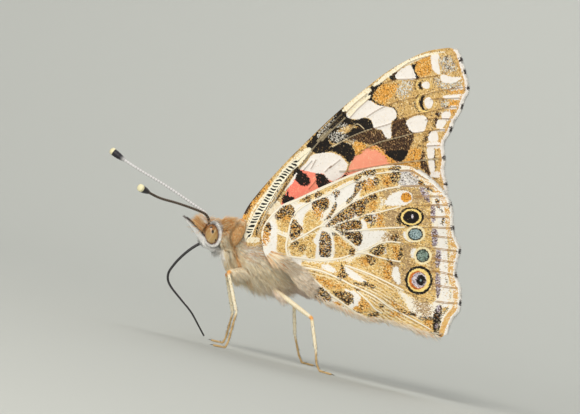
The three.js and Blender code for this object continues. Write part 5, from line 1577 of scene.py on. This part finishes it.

# The feelers and the tongue.
# Feelers are jointed shafts of about forty rings, dark outside and white-scaled inside, that swell to a
# flat club with a cream tip. The tongue is a black tube of two halves zipped together, half uncoiled, with a
# painted highlight: a pale line along its upper side.
FEELER_LEFT = ((21.0, 22.3, -0.6), (20.7, 21.55, -0.95), (20.0, 21.1, -1.8), (18.0, 20.35, -4.2),
               (16.2, 19.8, -6.3), (14.9, 19.1, -8.1), (14.3, 18.75, -9.0))
FEELER_RIGHT = ((20.9, 22.3, 0.6), (20.5, 21.3, 0.85), (19.4, 20.5, 1.1), (16.6, 18.6, 1.7),
                (13.6, 16.8, 2.3), (11.9, 15.65, 2.6), (10.9, 14.9, 2.8))
FEELER_RADIUS = 0.125
FEELER_RINGS = 42
RING_STEPS = 8
CLUB_RADIUS = 0.36
CLUB_START = 0.85
TIP_START = 0.985
TONGUE_LINE = ((20.8, 24.1, 0), (20.0, 24.35, 0), (19.0, 24.95, 0), (18.0, 25.8, 0), (17.25, 26.65, 0),
               (16.85, 27.3, 0), (16.8, 28.0, 0), (17.15, 28.75, 0), (18.1, 29.95, 0), (19.1, 31.2, 0),
               (19.95, 32.75, 0), (20.4, 33.6, 0))
TONGUE_RADIUS = 0.12
TONGUE_STEPS = 260


def tube(line, radii, around=16):
    """Points and faces of a tube along a line of places in metres, with a radius in mm at each."""
    forward = unit(np.gradient(line, axis=0))
    side = unit(np.cross(forward, np.array([0.0, 1.0, 0.3])))
    other = np.cross(forward, side)
    angle = np.linspace(0, 2 * math.pi, around, endpoint=False)[None, :, None]
    reach = np.asarray(radii)[:, None, None] * MM
    rings = line[:, None] + reach * (side[:, None] * np.cos(angle) + other[:, None] * np.sin(angle))
    return rings.reshape(-1, 3), closed_faces(len(line), around)


def resampled(path, count):
    """Even steps in metres along a smooth line through places of the side view."""
    fine = at(*smooth_rows(path, steps=12).T)
    run = run_along(fine)
    return on_line(fine, run, np.linspace(0, run[-1], count))


feeler_surface = Surface("ringed_feeler", roughness=0.5, sheen=0.1)
ring = feeler_surface.field("ring")
pale = feeler_surface.field("pale")
colour = feeler_surface.mix(tint(58, 42, 28), tint(220, 219, 220), pale)
colour = feeler_surface.mix(colour, tint(70, 60, 58), ring * pale * 0.5)
colour = feeler_surface.mix(colour, tint(196, 180, 156), ring * (1 - pale) * 0.45)
colour = feeler_surface.mix(colour, tint(26, 24, 34), feeler_surface.field("club"))
colour = feeler_surface.mix(colour, tint(240, 232, 190), feeler_surface.field("tip"))
feeler_surface.feed("Base Color", colour)
for word, side, path in (("left", -1, FEELER_LEFT), ("right", 1, FEELER_RIGHT)):
    line = resampled(path, FEELER_RINGS * RING_STEPS)
    share = np.linspace(0, 1, len(line))
    phase = (share * FEELER_RINGS) % 1
    radii = FEELER_RADIUS * (1 + 0.1 * np.sin(phase * math.pi)) + 0.05 * ease_off(share / 0.04)
    in_club = np.clip((share - CLUB_START) / 0.15, 0, 1)
    swell = np.sin(in_club ** 0.8 * math.pi * 0.62) * (share > CLUB_START)
    radii = radii + (CLUB_RADIUS - FEELER_RADIUS) * swell
    at_tip = share > TIP_START
    radii[at_tip] *= np.sqrt(np.clip((1 - share[at_tip]) / 0.015, 0.02, 1))
    points, faces = tube(line, radii)
    feeler = make_mesh(f"antenna_{word}", points, faces, feeler_surface)
    around = len(points) // len(line)
    outward = unit(points.reshape(len(line), around, 3) - line[:, None])
    inner = np.clip(-outward[..., 1] * side * 1.6 + 0.25, 0, 1)
    fields = {"ring": (phase < 0.22) & (share < 0.86), "tip": share > 0.965,
              "club": ease_off((0.90 - share) / 0.05)}
    fields = {key: np.repeat(values, around) for key, values in fields.items()}
    carry(feeler, pale=inner.ravel(), **fields)
    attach(feeler, "root")
    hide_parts(f"antenna_{word}")

tongue_surface = Surface("tongue_horn", roughness=0.25, coat=0.3)
# A pale line painted along the tongue's top stands for its highlight.
tongue_surface.feed("Base Color", tongue_surface.mix(tint(12, 8, 13), tint(206, 180, 200),
                                                     tongue_surface.field("seam")))
line = resampled(TONGUE_LINE, TONGUE_STEPS)
share = np.linspace(0, 1, len(line))
radii = TONGUE_RADIUS * (1.25 - 0.55 * share) * (1 + 0.05 * np.sin(share * 900))
points, faces = tube(line, radii)
tongue = make_mesh("tongue", points, faces, tongue_surface)
outward = unit(points.reshape(len(line), -1, 3) - line[:, None])
# Painted highlight: the tongue is paler where its surface faces up.
carry(tongue, seam=(np.clip(outward[..., 2] * 2 - 1.1, 0, 1)).ravel())
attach(tongue, "root")
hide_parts("proboscis_upper", "proboscis_bend", "proboscis_lower")

# The walking legs.
# Thigh, shin and five-jointed foot of cream-scaled horn, with an orange knee, scattered short spines and two
# claws. The first pair is only a brush on the chest, so the insect stands on four.
SOLE_LEVEL = 0.0
TOE_LENGTH = 1.5
TOE_SPLAY = 0.5
HEEL_HEIGHT = 0.75
FOOT_RADIUS = 0.13
TOE_STATIONS = (0.2, 0.45, 0.7, 1.0)
LEG_STEPS = 150
LEG_SIDES = 14
LEG_CELLS = 12000.0
GIRTH = (0.2, 0.27, 0.23, 0.17, 0.16, 0.18, 0.16, 0.12, 0.10)
JOINT_WIDTH = 0.00008
SPINES = 90
SPINE_LENGTH = 0.00026
SPINE_HALF = 0.000022
SPINE_BACK = 0.00003
SPINE_FACES = np.array([(0, 1, 2), (0, 3, 1), (1, 3, 2), (2, 3, 0)])
CLAW_LENGTH = 0.0003
CLAW_STEPS = 8
CLAW_RADII = (0.035, 0.006)
# For each pair: how many tufts a thigh has, how far down it they grow and its shade goes, and their greyness.
THIGH_HAIR = {"mid": (800, 0.9, 0.6, 0.1), "hind": (320, 0.3, 0.1, 0.7)}
# Hip, knee and ankle as across, down and right; then the toe's across and right, and which way it points.
LEGS = {
    "mid_left": ((24.4, 26.9, -1.9), (22.9, 27.15, -3.4), (23.7, 31.1, -4.1), (22.9, -4.5), -1),
    "mid_right": ((24.4, 26.9, 1.9), (22.6, 27.5, 3.3), (23.2, 31.4, 4.0), (22.5, 4.5), -1),
    "hind_left": ((27.2, 28.75, -1.1), (31.15, 31.7, -3.3), (31.55, 34.8, -4.1), (31.6, -4.4), 1),
    "hind_right": ((27.2, 28.3, 1.1), (29.4, 30.6, 3.4), (29.5, 33.7, 4.2), (29.9, 4.6), 1),
}


def on_floor(across, right, height):
    """The place a given height over the floor, at a given distance across the side view."""
    flat = turned(across, 0.0, right) + SHIFT
    down = (flat[2] / MM - height) / math.cos(LEAN)
    return across, down, right


leg_surface = Surface("scaled_leg", roughness=0.55, sheen=0.1)
leg_cell = leg_surface.node("ShaderNodeTexVoronoi", {}, {"Vector": leg_surface.place(), "Scale": LEG_CELLS})
leg_surface.bump(leg_cell, 0.000006)
leg_draw = leg_surface.parts(Signal(leg_surface, leg_cell.socket.node.outputs["Color"]))[0]
colour = leg_surface.mix(tint(252, 245, 222), tint(228, 208, 164), leg_draw)
colour = leg_surface.mix(colour, tint(196, 164, 112), leg_surface.field("foot"))
colour = leg_surface.mix(colour, tint(206, 184, 150), leg_surface.field("shade"))
colour = leg_surface.mix(colour, tint(238, 164, 76), leg_surface.field("knee"))
leg_surface.feed("Base Color", leg_surface.mix(colour, tint(46, 28, 16), leg_surface.field("horn")))
for leg, (hip, knee, ankle, toe, turn) in LEGS.items():
    side = math.copysign(1, hip[2])
    splay = side * TOE_SPLAY
    foot = [on_floor(toe[0] + turn * TOE_LENGTH * t, toe[1] + t * splay, FOOT_RADIUS * (1.15 - 0.35 * t))
            for t in TOE_STATIONS]
    path = [hip, knee, ankle, on_floor(toe[0], toe[1], HEEL_HEIGHT), *foot]
    corners = at(*np.array(path).T)
    run = run_along(corners)
    stops = np.unique(np.concatenate([np.linspace(0, run[-1], LEG_STEPS), run]))
    line = on_line(corners, run, stops)
    for _ in range(3):
        line[1:-1] = (line[:-2] + 2 * line[1:-1] + line[2:]) / 4
    knee_at, ankle_at = run[1], run[2]
    stations = [0, 0.35 * knee_at, 0.8 * knee_at, knee_at, 1.04 * knee_at, (knee_at + ankle_at) / 2, ankle_at,
                ankle_at + 0.0003, run[-1]]
    girth = np.interp(stops, stations, GIRTH)
    joints = np.linspace(ankle_at, run[-1], 6)
    pinch = sum(np.exp(-((stops - joint) / JOINT_WIDTH) ** 2) for joint in joints[:-1])
    girth = girth * (1 - 0.3 * pinch) * np.where(stops > run[-1] - 0.00006, 0.5, 1)
    points, faces = tube(line, girth, LEG_SIDES)
    points[:, 2] = np.maximum(points[:, 2], SOLE_LEVEL)
    base = len(points)
    chance = np.random.default_rng(31)
    spine_at = chance.choice(np.flatnonzero(stops > 1.1 * knee_at), SPINES)
    forward = unit(np.gradient(line, axis=0))
    vertices = [points]
    horny = [np.zeros(base)]
    for number in spine_at:
        out = unit(chance.normal(0, 1, 3))
        out = unit(out - forward[number] * (out @ forward[number]))
        if out[2] < -0.3 and stops[number] > ankle_at:
            continue
        lean = unit(out + forward[number] * 1.3)
        root = line[number] + out * girth[number] * MM * 0.8
        across = unit(np.cross(lean, out)) * SPINE_HALF
        spike = np.array([root + across, root - across, root + out * SPINE_BACK, root + lean * SPINE_LENGTH])
        start = sum(map(len, vertices))
        vertices.append(spike)
        horny.append(np.ones(4))
        faces += (start + SPINE_FACES).tolist()
    for claw_side in (-1, 1):
        reach = unit(corners[-1] - corners[-2])
        sideways = np.array([-reach[1], reach[0], 0.0])
        claw_line = [line[-1] + reach * t * CLAW_LENGTH + sideways * claw_side * (0.00005 + 0.00012 * t)
                     + np.array([0, 0, 0.00004 * math.sin(t * 3) - 0.00006 * t])
                     for t in np.linspace(0, 1, CLAW_STEPS)]
        claw, claw_faces = tube(np.array(claw_line), np.linspace(*CLAW_RADII, CLAW_STEPS), 8)
        claw[:, 2] = np.maximum(claw[:, 2], SOLE_LEVEL)
        start = sum(map(len, vertices))
        vertices.append(claw)
        horny.append(np.ones(len(claw)))
        faces += [tuple(start + corner for corner in face) for face in claw_faces]
    piece = make_mesh(f"leg_{leg}", np.vstack(vertices), faces, leg_surface)
    along = np.repeat(stops, LEG_SIDES)
    rest = sum(map(len, vertices)) - base
    pair, word = leg.split("_")
    count, reach, shaded, greyness = THIGH_HAIR[pair]
    fields = {
        "foot": np.clip((along - ankle_at) / 0.0006, 0, 1),
        "knee": ease_off(abs(along - knee_at) / 0.0004),
        "shade": ease_off((along / knee_at - shaded) / 0.35) * 0.8,
    }
    fields = {key: np.pad(values, (0, rest)) for key, values in fields.items()}
    carry(piece, horn=np.concatenate(horny), **fields)
    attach(piece, "root")
    thigh_chance = np.random.default_rng(61)
    numbers = thigh_chance.integers(2, np.searchsorted(stops, reach * knee_at), count)
    turn = thigh_chance.uniform(0, 2 * math.pi, count)
    around = unit(np.cross(forward[numbers], [0.0, 1.0, 0.2]))
    around = around * np.cos(turn)[:, None] + np.cross(forward[numbers], around) * np.sin(turn)[:, None]
    roots = line[numbers] + around * (girth[numbers] * 0.9 * MM)[:, None]
    lies = 0.5 * AXIS_ACROSS + 0.86 * AXIS_DOWN + 0.08 * around
    lies = unit(lies + thigh_chance.normal(0, 0.14, around.shape))
    shade = 0.65 + 0.25 * streak_of(side_view(roots)[:, 0]) + thigh_chance.normal(0, 0.15, count)
    flat_map = np.stack([numbers / len(line), turn / (2 * math.pi)], 1)
    lengths = thigh_chance.uniform(0.5, 1.25, count)
    marks = plain_marks(count, grey=greyness)
    thigh_hair = tufts(f"thigh_hair_{leg}", roots, around, lies, lengths, 0.085, hair, flat_map,
                       rise=0.2, rings=4, flat=0.2, chance=np.clip(shade, 0, 1), **marks)
    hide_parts(f"{pair}_femur_{word}", f"{pair}_tibia_{word}", f"{pair}_tarsus_{word}")
